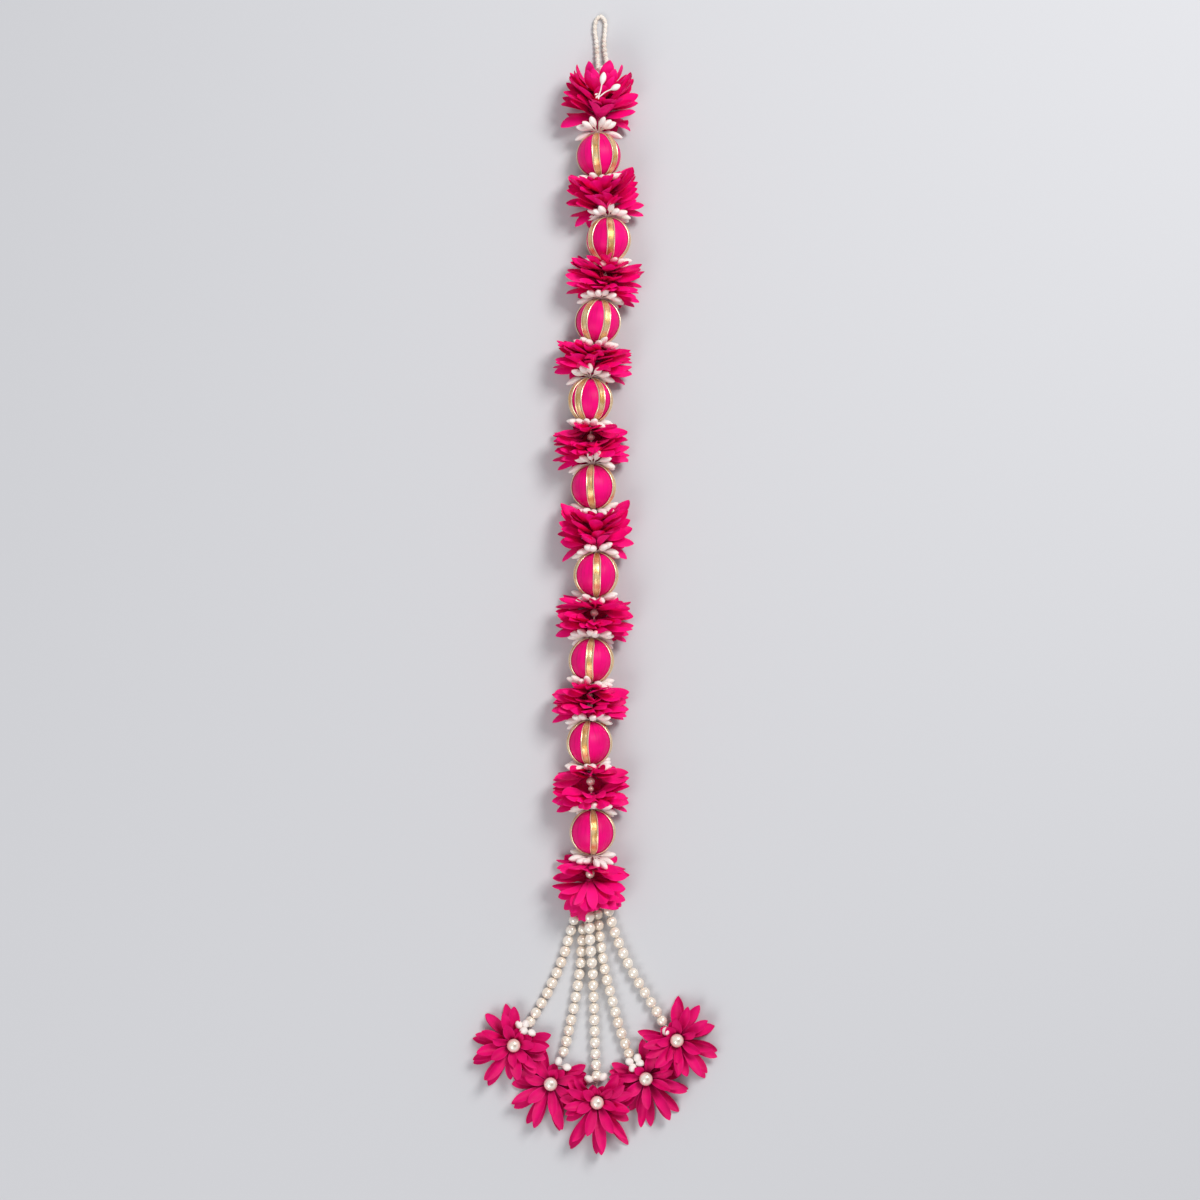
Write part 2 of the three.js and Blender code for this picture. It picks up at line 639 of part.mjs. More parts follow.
// The main string from the gathering knot up to the knot below the loop, with a bead in each
// space between the layers of a flower.
const BEAD_SHOULDER = 0.45;
function mainString() {
  const stops = [];
  const thread = (place, distance) =>
    stops.push({ point: pointAt(place, distance), radius: STRING_RADIUS });
  const knot = (centre, direction) =>
    [-1, -BEAD_SHOULDER, BEAD_SHOULDER, 1].forEach((share) =>
      stops.push({
        point: centre.clone().addScaledVector(direction, share * KNOT_RADIUS),
        radius: Math.abs(share) === 1 ? STRING_RADIUS : KNOT_RADIUS,
      }),
    );
  const ends = [0, STRING_POINTS.length - 1];
  knot(STRING_POINTS[ends[1]], stringPlace(lengthTo(ends[1]) - KNOT_RADIUS).along);
  thread(flowerPlace(BALLS.length, -stackHalf(BALLS.length)), 0);
  for (let i = BALLS.length; i >= 0; i -= 1) {
    const radius = beadRadius(i);
    for (let gap = FLOWER_STYLES[i].layers - 2; gap >= 0; gap -= 1) {
      const middle = (layerOffset(i, gap) + layerOffset(i, gap + 1)) / 2;
      const place = flowerPlace(i, middle);
      [-1, -BEAD_SHOULDER, BEAD_SHOULDER, 1].forEach((share) =>
        stops.push({
          point: pointAt(place, share * radius),
          radius: Math.abs(share) === 1 ? STRING_RADIUS : radius,
          ahead: place.along,
        }),
      );
    }
    if (i > 0) [-BALL_RADIUS, BALL_RADIUS].forEach((at) => thread(ballPlaces[i - 1], at));
  }
  thread(flowerPlace(0, TOP_COLLAR_OFFSET), 0);
  knot(STRING_POINTS[ends[0]], stringPlace(KNOT_RADIUS).along);
  return beadedCord(stops, STRING_SIDES);
}

// ---------------------------------------------------------------- hanging loop

// A cord doubled to an eye. Its legs come out of the knot, sink to the surface and lie there.
const LOOP_RADIUS = 2.0;
const LOOP_ROUTE = [
  [3.2, 389.6, 8.4],
  [2.9, 394.5, 5.2],
  [2.4, 400.5, 2.6],
  [2.1, 407.0, 2.0],
  [1.6, 413.5, 2.0],
  [0.6, 420.5, 2.0],
  [0.9, 426.0, 2.0],
  [2.2, 429.6, 2.0],
  [4.9, 431.2, 2.0],
  [7.4, 429.4, 2.0],
  [8.6, 425.6, 2.0],
  [8.3, 420.0, 2.0],
  [7.7, 413.5, 2.0],
  [7.9, 407.0, 2.0],
  [8.8, 400.5, 2.6],
  [9.8, 394.5, 5.2],
  [10.2, 389.6, 8.4],
].map(([x, y, z]) => vec(x, y, z));
const LOOP_STEPS = 18;

function hangingLoop() {
  const route = new THREE.CatmullRomCurve3(LOOP_ROUTE, false, "catmullrom", 0.5);
  const stops = route.getSpacedPoints(LOOP_STEPS).map((point) => ({ point, radius: LOOP_RADIUS }));
  return beadedCord(stops, 8);
}

// ---------------------------------------------------------------- pearl strands

// The pearls of each strand, from the knot down: [x, y], and how high the first ones lie where
// they come down from the knot or over the strands beside them.
const STRAND_REST = STRAND_PEARL * Math.cos(Math.PI / STRAND_SIDES);
const STRANDS = [
  {
    pearls: [
      [-15.1, -253.9], [-17.5, -262.1], [-19.8, -270.2], [-22.0, -278.2], [-24.9, -286.4],
      [-28.2, -294.5], [-31.9, -302.2], [-35.4, -309.8], [-39.8, -317.4], [-44.2, -324.9],
      [-48.5, -331.6],
    ],
    heights: [6.6, 4.4],
    knotAngle: -62,
    tip: { x: -60.8, y: -348.5 },
    buds: [[4.8, 15.6, 9], [8.6, 10.6, 8], [14.2, 9.5, 6]],
  },
  {
    pearls: [
      [-8.4, -261.2], [-9.0, -269.8], [-9.6, -278.2], [-10.0, -286.8], [-11.2, -295.6],
      [-12.3, -304.1], [-13.9, -312.8], [-15.4, -321.5], [-17.4, -330.2], [-19.1, -338.2],
      [-20.9, -346.3], [-23.1, -354.3],
    ],
    heights: [4.2],
    knotAngle: -28,
    tip: { x: -32.9, y: -377.7 },
    buds: [[5.9, 16.4, 8], [11.4, 12.0, 6]],
  },
  {
    pearls: [
      [-3.7, -250.9], [-3.3, -259.6], [-3.0, -268.3], [-2.4, -277.2], [-1.7, -286.2],
      [-1.0, -295.1], [-0.7, -303.9], [-0.3, -312.7], [0.0, -321.4], [0.2, -330.2],
      [0.5, -338.8], [0.7, -347.4], [1.1, -356.0], [1.5, -364.4],
    ],
    heights: [14.0, 12.2, 11.4, 10.9, 8.7, 5.4],
    knotAngle: 0,
    tip: { x: 2.3, y: -391.7 },
    buds: [[-7.7, 17.6, 7], [5.6, 19.6, 7]],
  },
  {
    pearls: [
      [2.6, -249.9], [3.4, -258.4], [4.3, -266.9], [5.4, -275.3], [6.6, -283.5],
      [8.1, -291.6], [9.8, -299.9], [12.0, -308.1], [14.1, -316.2], [16.2, -324.2],
      [18.2, -332.2], [20.7, -340.3], [23.6, -348.1], [26.4, -355.6],
    ],
    heights: [5.2, 4.0],
    knotAngle: 28,
    tip: { x: 39.2, y: -373.8 },
    buds: [[-9.6, 12.6, 8], [-5.2, 13.4, 9], [-9.0, 7.6, 7]],
  },
  {
    pearls: [
      [11.2, -247.3], [13.3, -255.7], [15.8, -263.8], [18.8, -271.7], [22.1, -279.6],
      [25.7, -287.1], [29.7, -294.7], [34.0, -302.2], [38.5, -309.5], [43.1, -316.8],
      [47.6, -324.0], [51.6, -331.0],
    ],
    heights: [6.6, 4.4],
    knotAngle: 62,
    tip: { x: 62.7, y: -344.8 },
    buds: [[-7.8, 4.8, 10]],
  },
];

// The tip flowers: their middle plate lies over the thread and under the end pearl.
const TIP_HUB_MIDDLE = 3.6;
const TIP_THREAD_HEIGHT = 1.6;
const END_PEARL_HEIGHT = TIP_HUB_MIDDLE + 2.6 + GAP + END_PEARL;
const BUD_CLUSTER_FROM_TIP = 13.5;

function pearlStrand({ pearls, heights, knotAngle, tip, buds }) {
  const knot = STRING_POINTS[STRING_POINTS.length - 1];
  const turn = radians(knotAngle);
  const leave = vec(Math.sin(turn), -Math.cos(turn), 0);
  const start = knot.clone().addScaledVector(leave, KNOT_RADIUS + GAP + 0.3);
  const centres = pearls.map(([x, y], i) => vec(x, y, Math.max(heights[i] ?? 0, STRAND_REST)));
  const middle = vec(tip.x, tip.y, 0);
  const last = centres[centres.length - 1];
  const towardsTip = middle.clone().sub(last).setZ(0).normalize();
  const stops = [{ point: start, radius: THREAD_RADIUS }];
  const radius = STRAND_PEARL;
  const reach = radius * BEAD_SHOULDER;
  centres.forEach((centre, i) => {
    const before = i > 0 ? centres[i - 1] : start;
    const after = centres[i + 1] ?? centre.clone().add(towardsTip);
    const ahead = after.clone().sub(before).normalize();
    centre.z = Math.max(centre.z, STRAND_REST + reach * Math.abs(ahead.z)); // a tilted pearl lies higher
    if (i === 0) {
      const neck = centre.clone().addScaledVector(ahead, -radius);
      stops.push({ point: neck, radius: THREAD_RADIUS });
    }
    stops.push({ point: centre.clone().addScaledVector(ahead, -reach), radius, ahead });
    stops.push({ point: centre.clone().addScaledVector(ahead, reach), radius, ahead });
    const neck = centres[i + 1]
      ? centre.clone().lerp(after, 0.5)
      : centre.clone().addScaledVector(ahead, radius);
    stops.push({ point: neck, radius: THREAD_RADIUS });
  });
  const approach = middle.clone().addScaledVector(towardsTip, -9).setZ(TIP_THREAD_HEIGHT);
  const turnUp = middle.clone().addScaledVector(towardsTip, -0.6).setZ(TIP_THREAD_HEIGHT);
  const pearlFoot = END_PEARL_HEIGHT - END_PEARL;
  stops.push({ point: approach, radius: THREAD_RADIUS });
  stops.push({ point: turnUp, radius: THREAD_RADIUS });
  stops.push({ point: middle.clone().setZ(TIP_HUB_MIDDLE), radius: THREAD_RADIUS });
  [-1, -BEAD_SHOULDER, BEAD_SHOULDER, 1].forEach((share) =>
    stops.push({
      point: middle.clone().setZ(pearlFoot + (share + 1) * END_PEARL),
      radius: Math.abs(share) === 1 ? THREAD_RADIUS : END_PEARL,
    }),
  );
  const clusterRoot = middle.clone().addScaledVector(towardsTip, -BUD_CLUSTER_FROM_TIP).setZ(2.2);
  const cluster = buds.map(([x, y, z]) => {
    const ahead = middle.clone().add(vec(x, y, z)).sub(clusterRoot);
    return bud(clusterRoot, ahead.normalize(), 9.6, 2.4);
  });
  return fuse([beadedCord(stops, STRAND_SIDES), ...cluster]);
}

// ---------------------------------------------------------------- tip flowers

// Neighbouring tip flowers reach over one another. Towards a neighbour the petals of every other
// flower stay low, and those of the flowers between arch over them.
const TIP_LAYERS = [
  { every: 1, rings: CURLED, lift: [-12, 0], low: [-12, 0], high: [40, -6], length: 28 },
  { every: 1, rings: CURLED, lift: [28, 14], low: [7, -14], high: [54, 6], length: 28 },
  { every: 2, rings: STRAIGHT, lift: [52, 78], low: null, high: null, length: 17 },
];
const TIP_TIER_THICK = 0.7;
const TIP_TIER_PITCH = 0.9;
const FACING_LENGTH = 26; // petals that reach towards a neighbour
const HANGING_EXTRA = 6.5; // and how much longer those are that point down the garland
const NEIGHBOUR_SECTOR = 56; // degrees to each side of the line to a neighbour
const STRAND_SECTOR = 30;

function tipFlower(i) {
  const { tip, pearls } = STRANDS[i];
  const middle = vec(tip.x, tip.y, TIP_HUB_MIDDLE);
  const place = { origin: middle, along: UP, up: vec(1, 0, 0), side: vec(0, 1, 0) };
  const bearing = (x, y) => (Math.atan2(y - tip.y, x - tip.x) * 180) / Math.PI;
  const away = (a, b) => Math.abs(((((a - b) % 360) + 540) % 360) - 180);
  const strandBearing = bearing(...pearls[pearls.length - 1]);
  const neighbours = [STRANDS[i - 1], STRANDS[i + 1]]
    .filter(Boolean)
    .map((strand) => bearing(strand.tip.x, strand.tip.y));
  const over = i % 2 === 0;
  const draw = seededDraws(i + 31);
  const pitch = 360 / PETALS_PER_LAYER;
  const tiers = TIP_LAYERS.map((layer, index) => {
    const middleOfTier = index * TIP_TIER_PITCH;
    const firstAngle = strandBearing + (0.5 + (index % 2) / 2) * pitch;
    const limbs = [];
    for (let k = 0; k < PETALS_PER_LAYER; k += 1) {
      const angle = firstAngle + k * pitch + 3 * draw();
      const [liftDraw, tipDraw] = [3 * draw(), 5 * draw()];
      const [lengthDraw, widthDraw] = [1.4 * draw(), 0.3 * draw()];
      const facing = neighbours.some((to) => away(angle, to) < NEIGHBOUR_SECTOR);
      const lift = facing ? (over ? layer.high : layer.low) : layer.lift;
      if (!lift || k % layer.every || away(angle, strandBearing) < STRAND_SECTOR) {
        limbs.push(null);
        continue;
      }
      const out = outward(place, angle);
      const reach = facing
        ? Math.min(layer.length, FACING_LENGTH)
        : layer.length - HANGING_EXTRA * Math.min(0, out.y);
      limbs.push(
        petal({
          origin: pointAt(place, middleOfTier),
          out,
          along: UP,
          sign: 1,
          lay: out,
          lift: [lift[0] + liftDraw, lift[1] + tipDraw],
          length: reach + lengthDraw,
          half: PETAL_HALF_WIDTH + widthDraw,
          rings: layer.rings,
        }),
      );
    }
    return layerTier(firstAngle, limbs, middleOfTier, TIP_TIER_THICK);
  });
  return closed(hub(place, { tiers: tiers.reverse(), bore: HUB_BORE, boreSides: 4 }));
}

// ---------------------------------------------------------------- the garland

const material = (color, roughness, metalness = 0) =>
  new THREE.MeshStandardMaterial({ color, roughness, metalness });
const petalMaterial = material(0xe5107a, 0.7);
const silkMaterial = material(0xd80f72, 0.45);
const goldMaterial = material(0xd9a860, 0.4, 0.5);
const budMaterial = material(0xf4ece4, 0.8);
const pearlMaterial = material(0xf2e6dc, 0.25);
const cordMaterial = material(0xeee2d0, 0.85);

const garland = new THREE.Group();

function addNode(name, geometry, look, place) {
  const mesh = new THREE.Mesh(geometry, look);
  mesh.name = name;
  if (place) {
    mesh.position.copy(place.origin);
    mesh.quaternion.setFromUnitVectors(vec(0, 1, 0), place.along);
  }
  garland.add(mesh);
}

addNode("hanging_loop", geometryOf(hangingLoop()), cordMaterial);
addNode("main_string", geometryOf(mainString()), pearlMaterial);
addNode("top_buds", geometryOf(topBuds()), budMaterial);

FLOWER_STYLES.forEach((_, i) => addNode(`flower_${i + 1}`, geometryOf(columnFlower(i)), petalMaterial));

BALLS.forEach((ball, i) => {
  const place = ballPlaces[i];
  addNode(`ball_${i + 1}`, geometryOf(solidOf(ballGeometry())), silkMaterial, place);
  addNode(`gold_trim_${i + 1}`, geometryOf(goldTrim(ball)), goldMaterial, place);
  addNode(`buds_above_ball_${i + 1}`, geometryOf(budRing(1)), budMaterial, place);
  addNode(`buds_below_ball_${i + 1}`, geometryOf(budRing(-1)), budMaterial, place);
});

STRANDS.forEach((strand, i) => {
  addNode(`pearl_strand_${i + 1}`, geometryOf(pearlStrand(strand)), pearlMaterial);
  addNode(`tip_flower_${i + 1}`, geometryOf(tipFlower(i)), petalMaterial);
});

export default garland;
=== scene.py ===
# %% [markdown]
# # A hanging flower garland
#
# The garland lies flat on a pale floor. Down one string, ten magenta flowers take turns with nine
# silk balls under gold ribbons, and white buds ring every ball. Five strands of pearls fan out at
# the foot, each with a face-up flower. A knotted cord loop is at the head.
#
# The solid model is loaded first. It gives every piece its place, and this script dresses it.

# %% Load the solid model
import math

import bmesh
import bpy
import numpy as np
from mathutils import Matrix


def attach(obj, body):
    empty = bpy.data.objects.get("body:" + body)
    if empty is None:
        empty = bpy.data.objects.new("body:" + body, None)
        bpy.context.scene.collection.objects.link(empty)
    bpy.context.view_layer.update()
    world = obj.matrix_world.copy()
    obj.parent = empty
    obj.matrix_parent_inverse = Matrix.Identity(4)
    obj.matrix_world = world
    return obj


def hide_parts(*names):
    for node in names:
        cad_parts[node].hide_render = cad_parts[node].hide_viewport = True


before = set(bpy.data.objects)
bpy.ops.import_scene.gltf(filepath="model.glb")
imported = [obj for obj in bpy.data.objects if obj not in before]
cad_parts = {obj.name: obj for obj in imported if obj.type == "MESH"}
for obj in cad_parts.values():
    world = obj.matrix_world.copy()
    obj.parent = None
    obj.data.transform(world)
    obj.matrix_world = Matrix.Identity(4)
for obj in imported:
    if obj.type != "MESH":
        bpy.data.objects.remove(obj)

scene = bpy.context.scene
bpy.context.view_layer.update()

# %% [markdown]
# ## The string
#
# Everything but the strands and the loop is threaded on one string, so its route comes first. It
# is a smooth curve through the flowers and balls. A piece is placed by its length down the
# string, which gives a point and three directions: along the string, to its side, and up.

# %% The string's route, in millimetres
BALL_RADIUS = 16.5
BALL_SIDES = 12
BALL_BAND = 15  # the solid ball has flat faces, and lies on one that spans this latitude each way
STRING_HEIGHT = BALL_RADIUS * math.cos(math.radians(BALL_BAND)) * math.cos(math.pi / BALL_SIDES)
BALLS = [  # x, y, and the angles of the ribbons round the string
    (3.8, 323.7, [-106, -7, 48, 118, -144]),
    (10.6, 260.0, [-55, 8, 72, 133, -120]),
    (3.0, 198.1, [-97, -36, 23, 84, 134]),
    (-3.0, 138.8, [-65, -29, 31, 78, 132, -120]),
    (-0.2, 73.6, [-98, -10, 66, 130, -140]),
    (1.5, 7.2, [-68, 4, 74, 132, -132]),
    (-1.9, -57.3, [-76, -4, 68, 131, -133]),
    (-3.5, -119.6, [-76, -10, 76, 132, -132]),
    (-1.1, -186.8, [-82, 5, 82, 132, -132]),
]
STRING_TOP = (6.2, 389.0, 12.0)
STRING_FOOT = (0.0, -241.9, 11.0)
STRING_POINTS = np.array(
    [STRING_TOP, (4.5, 363.3, STRING_HEIGHT)]
    + [(x, y, STRING_HEIGHT) for x, y, _ in BALLS]
    + [(-3.0, -223.0, STRING_HEIGHT), STRING_FOOT]
)
UP = np.array([0.0, 0.0, 1.0])


def smooth_curve(points, t):
    """Catmull-Rom: between two points p1 and p2 the curve is the cubic that leaves along
    (p2 - p0) / 2 and arrives along (p3 - p1) / 2. t counts the points, from 0."""
    ends = [2 * points[0] - points[1]], [2 * points[-1] - points[-2]]
    p = np.concatenate([ends[0], points, ends[1]])
    i = np.clip(np.floor(t).astype(int), 0, len(points) - 2)
    w = np.asarray(t - i)[..., None]
    p0, p1, p2, p3 = p[i], p[i + 1], p[i + 2], p[i + 3]
    v1, v2 = (p2 - p0) / 2, (p3 - p1) / 2
    return p1 + v1 * w + (3 * (p2 - p1) - 2 * v1 - v2) * w**2 + (2 * (p1 - p2) + v1 + v2) * w**3


def run_lengths(line):
    """The length of a line of points from its start to each of them."""
    return np.concatenate([[0], np.cumsum(np.linalg.norm(np.diff(line, axis=0), axis=1))])


SPAN_STEPS = 100
steps_along = np.linspace(0, len(STRING_POINTS) - 1, SPAN_STEPS * (len(STRING_POINTS) - 1) + 1)
string_line = smooth_curve(STRING_POINTS, steps_along)
string_lengths = run_lengths(string_line)
print("the string is %.0f mm long" % string_lengths[-1])


# %% Places on the string
def unit(v):
    """Each vector divided by its length."""
    return v / np.linalg.norm(v, axis=-1, keepdims=True)


def length_to(point):
    """How much string there is from its top to one of its points."""
    return string_lengths[point * SPAN_STEPS]


def string_place(length):
    """Point, along, side and up at one length down the string, or a row of each for every length.
    Along is the slope up the string, side is along x the vertical, and up is side x along."""
    t = np.interp(length, string_lengths, steps_along)
    t = np.clip(t, 0.002, len(STRING_POINTS) - 1.002)
    along = unit(smooth_curve(STRING_POINTS, t - 0.001) - smooth_curve(STRING_POINTS, t + 0.001))
    side = unit(np.cross(along, UP))
    return smooth_curve(STRING_POINTS, t), along, side, np.cross(side, along)


def around(place, distance, radius, angle):
    """place + distance * along + radius * (up * cos(angle) + side * sin(angle)), with the angle
    in degrees and 0 on top."""
    origin, along, side, up = place
    turn = np.radians(np.asarray(angle, float))[..., None]
    out = np.cos(turn) * up + np.sin(turn) * side
    distance, radius = (np.asarray(value, float)[..., None] for value in (distance, radius))
    return origin + distance * along + radius * out


def stub(place, middle, half):
    """Three points of a short straight line along the string."""
    return np.array([place[0] + place[1] * k for k in (middle - half, middle, middle + half)])


ball_lengths = [length_to(i + 2) for i in range(len(BALLS))]
flower_lengths = (
    [length_to(1)]
    + [(a + b) / 2 for a, b in zip(ball_lengths, ball_lengths[1:])]
    + [length_to(len(BALLS) + 2)]
)
print(len(ball_lengths), "balls and", len(flower_lengths), "flowers on the string")

# %% [markdown]
# ## The camera
#
# The garland is seen straight from above, so the camera looks down and its picture's top is the
# garland's head. A long lens keeps the far ends from leaning outwards.

# %% The camera
LENS = 85.0
SENSOR = 36.0
VIEW_WIDTH = 905.5  # of what the camera sees at the garland's height
VIEW_MIDDLE = (4.5, -11.7)
camera_data = bpy.data.cameras.new("camera")
camera_data.lens = LENS
camera_data.sensor_width = SENSOR
camera_data.clip_end = 20
camera = bpy.data.objects.new("camera", camera_data)
camera.location = [v / 1000 for v in (*VIEW_MIDDLE, VIEW_WIDTH * LENS / SENSOR + STRING_HEIGHT)]
scene.collection.objects.link(camera)
scene.camera = camera
scene.view_settings.view_transform = "Standard"
print("camera %.2f m above the floor" % camera.location.z)

# %% [markdown]
# ## From arrays to pieces
#
# Each shape is worked out as a grid of points, rows by columns, where the last column comes back
# to the first. Many copies of a grid go into one mesh at once. The points at a seam or a pole are
# merged afterwards, which closes the skin.


# %% One mesh from grids of points
def put_piece(name, grids, material, replaces=(), sharp=50):
    """Makes a mesh of grids, each (points, uv) of shape (copies, rows, columns, 3 or 2). A face
    joins the points (r, c), (r, c + 1), (r + 1, c + 1), (r + 1, c). Points are in millimetres."""
    all_points, all_quads, all_uv, start = [], [], [], 0
    for points, uv in grids:
        points = points.reshape((-1,) + points.shape[-3:])
        copies, rows, cols = points.shape[:3]
        index = start + np.arange(copies * rows * cols).reshape(copies, rows, cols)
        corners = [index[:, :-1, :-1], index[:, :-1, 1:], index[:, 1:, 1:], index[:, 1:, :-1]]
        all_quads.append(np.stack(corners, axis=-1).reshape(-1, 4))
        all_points.append(points.reshape(-1, 3))
        all_uv.append(np.broadcast_to(uv, points.shape[:3] + (2,)).reshape(-1, 2))
        start += copies * rows * cols
    points, quads, uv = map(np.concatenate, (all_points, all_quads, all_uv))
    mesh = bpy.data.meshes.new(name)
    mesh.from_pydata(points / 1000, [], quads.tolist())
    mesh.uv_layers.new(name="surface").data.foreach_set("uv", uv[quads.ravel()].ravel())
    build = bmesh.new()
    build.from_mesh(mesh)
    bmesh.ops.remove_doubles(build, verts=build.verts, dist=2e-6)
    bmesh.ops.recalc_face_normals(build, faces=build.faces)
    build.to_mesh(mesh)
    build.free()
    mesh.shade_smooth()
    mesh.set_sharp_from_angle(angle=math.radians(sharp))
    mesh.materials.append(material)
    piece = bpy.data.objects.new(name, mesh)
    scene.collection.objects.link(piece)
    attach(piece, "root")
    if replaces:
        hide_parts(*replaces)
    return piece


# %% Rings carried along a path
def pair_up(u, v):
    """The grid's own map: u and v at each of its points."""
    return np.stack(np.broadcast_arrays(u, v), axis=-1)


def capped(rings, first, last):
    """Adds a ring at each end that is shrunk to a point, which closes the skin."""
    ends = [np.broadcast_to(point, rings[:1].shape) for point in (first, last)]
    return np.concatenate([ends[0], rings, ends[1]])


def line_frames(line):
    """Two directions square to a path: across is the horizontal one (or the last such where the
    path is steep), and rise is across x the slope."""
    ahead = unit(np.gradient(line, axis=0))
    across = np.cross(ahead, UP)
    flat = np.linalg.norm(across, axis=1) > 0.35
    if flat.any():
        nearest = np.maximum.accumulate(np.where(flat, np.arange(len(line)), -1))
        nearest[nearest < 0] = np.argmax(flat)
        across = across[nearest]
    else:
        across = np.tile([1.0, 0.0, 0.0], (len(line), 1))
    across = unit(across - (across * ahead).sum(1, keepdims=True) * ahead)
    return across, np.cross(across, ahead)


def tube(line, radius, sides, v_scale=0.1):
    """A tube: ring j of the path's point p is p + radius * (across * sin a + rise * cos a). The
    radius is a number, or an array of one for each point and side. Both ends close to a point."""
    across, rise = line_frames(line)
    turn = np.linspace(0, 2 * np.pi, sides + 1)
    radius = np.broadcast_to(np.asarray(radius, float), (len(line), sides + 1))[..., None]
    out = np.sin(turn)[:, None] * across[:, None] + np.cos(turn)[:, None] * rise[:, None]
    points = capped(line[:, None] + radius * out, line[0], line[-1])
    run = run_lengths(line)
    v = np.concatenate([[0], run, run[-1:]]) * v_scale
    return points[None], pair_up(turn / (2 * np.pi), v[:, None])


def even_line(points, step):
    """The smooth curve through the points, with a point at every step of its length."""
    fine = smooth_curve(points, np.linspace(0, len(points) - 1, 40 * (len(points) - 1) + 1))
    run = run_lengths(fine)
    want = np.linspace(0, run[-1], max(3, int(round(run[-1] / step)) + 1))
    return np.stack([np.interp(want, run, fine[:, k]) for k in range(3)], axis=1)


def rings_about(axes, turn, oval=1.0):
    """A ring square to each axis: oval (across sin(turn) + rise cos(turn))."""
    helper = np.where(np.abs(axes[:, 2:]) > 0.9, [[1.0, 0, 0]], [[0, 0, 1.0]])
    across = unit(np.cross(axes, helper))
    rise = np.cross(across, axes)
    sine, cosine = (np.sin(turn) * oval)[:, None], (np.cos(turn) * oval)[:, None]
    return across[:, None, None] * sine + rise[:, None, None] * cosine


def beads(centres, axes, radii, rows=11, sides=16, stretch=1.0, hole=0.1):
    """Balls with a dimple where the thread goes in: for an angle a from pole to pole, the radius
    is r sin a and the height r cos a, pulled in by a bell curve at the poles."""
    centres, axes = np.asarray(centres, float), unit(np.asarray(axes, float))
    a = np.linspace(0, np.pi, rows)
    height = np.cos(a) * (1 - hole * np.exp(-((np.sin(a) / 0.3) ** 2))) * stretch
    turn = np.linspace(0, 2 * np.pi, sides + 1)
    shape = rings_about(axes, turn) * np.sin(a)[:, None, None] + axes[:, None, None] * height[:, None, None]
    points = centres[:, None, None] + np.asarray(radii, float).reshape(-1, 1, 1, 1) * shape
    return points, pair_up(turn / (2 * np.pi), a[:, None] / np.pi)


print("shape helpers ready")

# %% [markdown]
# ## Materials
#
# The petals are thin matte foam, the balls gathered silk, the ribbons metallic braid, the pearls
# coated plastic and the loop twisted cotton. Two effects come back in several of them, so each is
# a node group: `cloth grain` for a fine woven or fibrous relief, and `tone drift` for the slow
# change of colour that keeps a surface from looking flat.


# %% Helpers for shader nodes
def linear(red, green, blue):
    """A display colour of 0 to 255 as a linear one: ((c + 0.055) / 1.055) ** 2.4 when bright."""
    c = np.array([red, green, blue]) / 255
    c = np.where(c <= 0.04045, c / 12.92, ((c + 0.055) / 1.055) ** 2.4)
    return (*c.tolist(), 1.0)


def new_group(name, inputs, outputs):
    """A shader node group with named sockets, and its input and output nodes."""
    group = bpy.data.node_groups.new(name, "ShaderNodeTree")
    for label, kind, value in inputs:
        socket = group.interface.new_socket(label, in_out="INPUT", socket_type="NodeSocket" + kind)
        if value is not None:
            socket.default_value = value
    for label, kind in outputs:
        group.interface.new_socket(label, in_out="OUTPUT", socket_type="NodeSocket" + kind)
    return group, group.nodes.new("NodeGroupInput").outputs, group.nodes.new("NodeGroupOutput").inputs


class Nodes:
    """A node tree, and short ways to add to it."""

    def __init__(self, tree):
        self.tree = tree

    def add(self, kind, links=(), **values):
        """Adds a node, sets its values, and links sockets, given as (from socket, to name)."""
        made = self.tree.nodes.new("ShaderNode" + kind)
        for key, value in values.items():
            if hasattr(made, key):
                setattr(made, key, value)
            else:
                made.inputs[key.replace("_", " ")].default_value = value
        for source, target in links:
            self.tree.links.new(source, made.inputs[target])
        return made.outputs

    def maths(self, operation, *values):
        """What a Math node makes of its inputs, which are numbers or sockets."""
        outputs = self.add("Math", operation=operation)
        for socket, value in zip(outputs[0].node.inputs, values):
            if isinstance(value, (int, float)):
                socket.default_value = value
            else:
                self.tree.links.new(value, socket)
        return outputs[0]

    def ramp(self, value, start, end, low=0.0, high=1.0):
        """Goes from low to high while the value goes from start to end, and stays there."""
        ends = {"From_Min": start, "From_Max": end, "To_Min": low, "To_Max": high}
        return self.add("MapRange", [(value, "Value")], **ends)[0]


# %% The cloth grain group
grain_group, given, wanted = new_group(
    "cloth grain",
    [("Place", "Vector", None), ("Fineness", "Float", 1.0), ("Weave", "Float", 0.5)],
    [("Height", "Float"), ("Shade", "Float")],
)
grain = Nodes(grain_group)
scaled = grain.add("VectorMath", [(given["Place"], 0), (given["Fineness"], "Scale")], operation="SCALE")
place = [(scaled[0], "Vector")]
fibre = grain.add("TexNoise", place, Scale=1.0, Detail=4.0)["Fac"]
warp, weft = (
    grain.add("TexWave", place, bands_direction=way, Scale=0.6, Distortion=0.6)["Fac"] for way in "XY"
)
woven = grain.maths("MULTIPLY", warp, weft)
height = grain.add("Mix", [(given["Weave"], "Factor"), (fibre, 2), (woven, 3)])[0]
grain_group.links.new(height, wanted["Height"])
grain_group.links.new(fibre, wanted["Shade"])

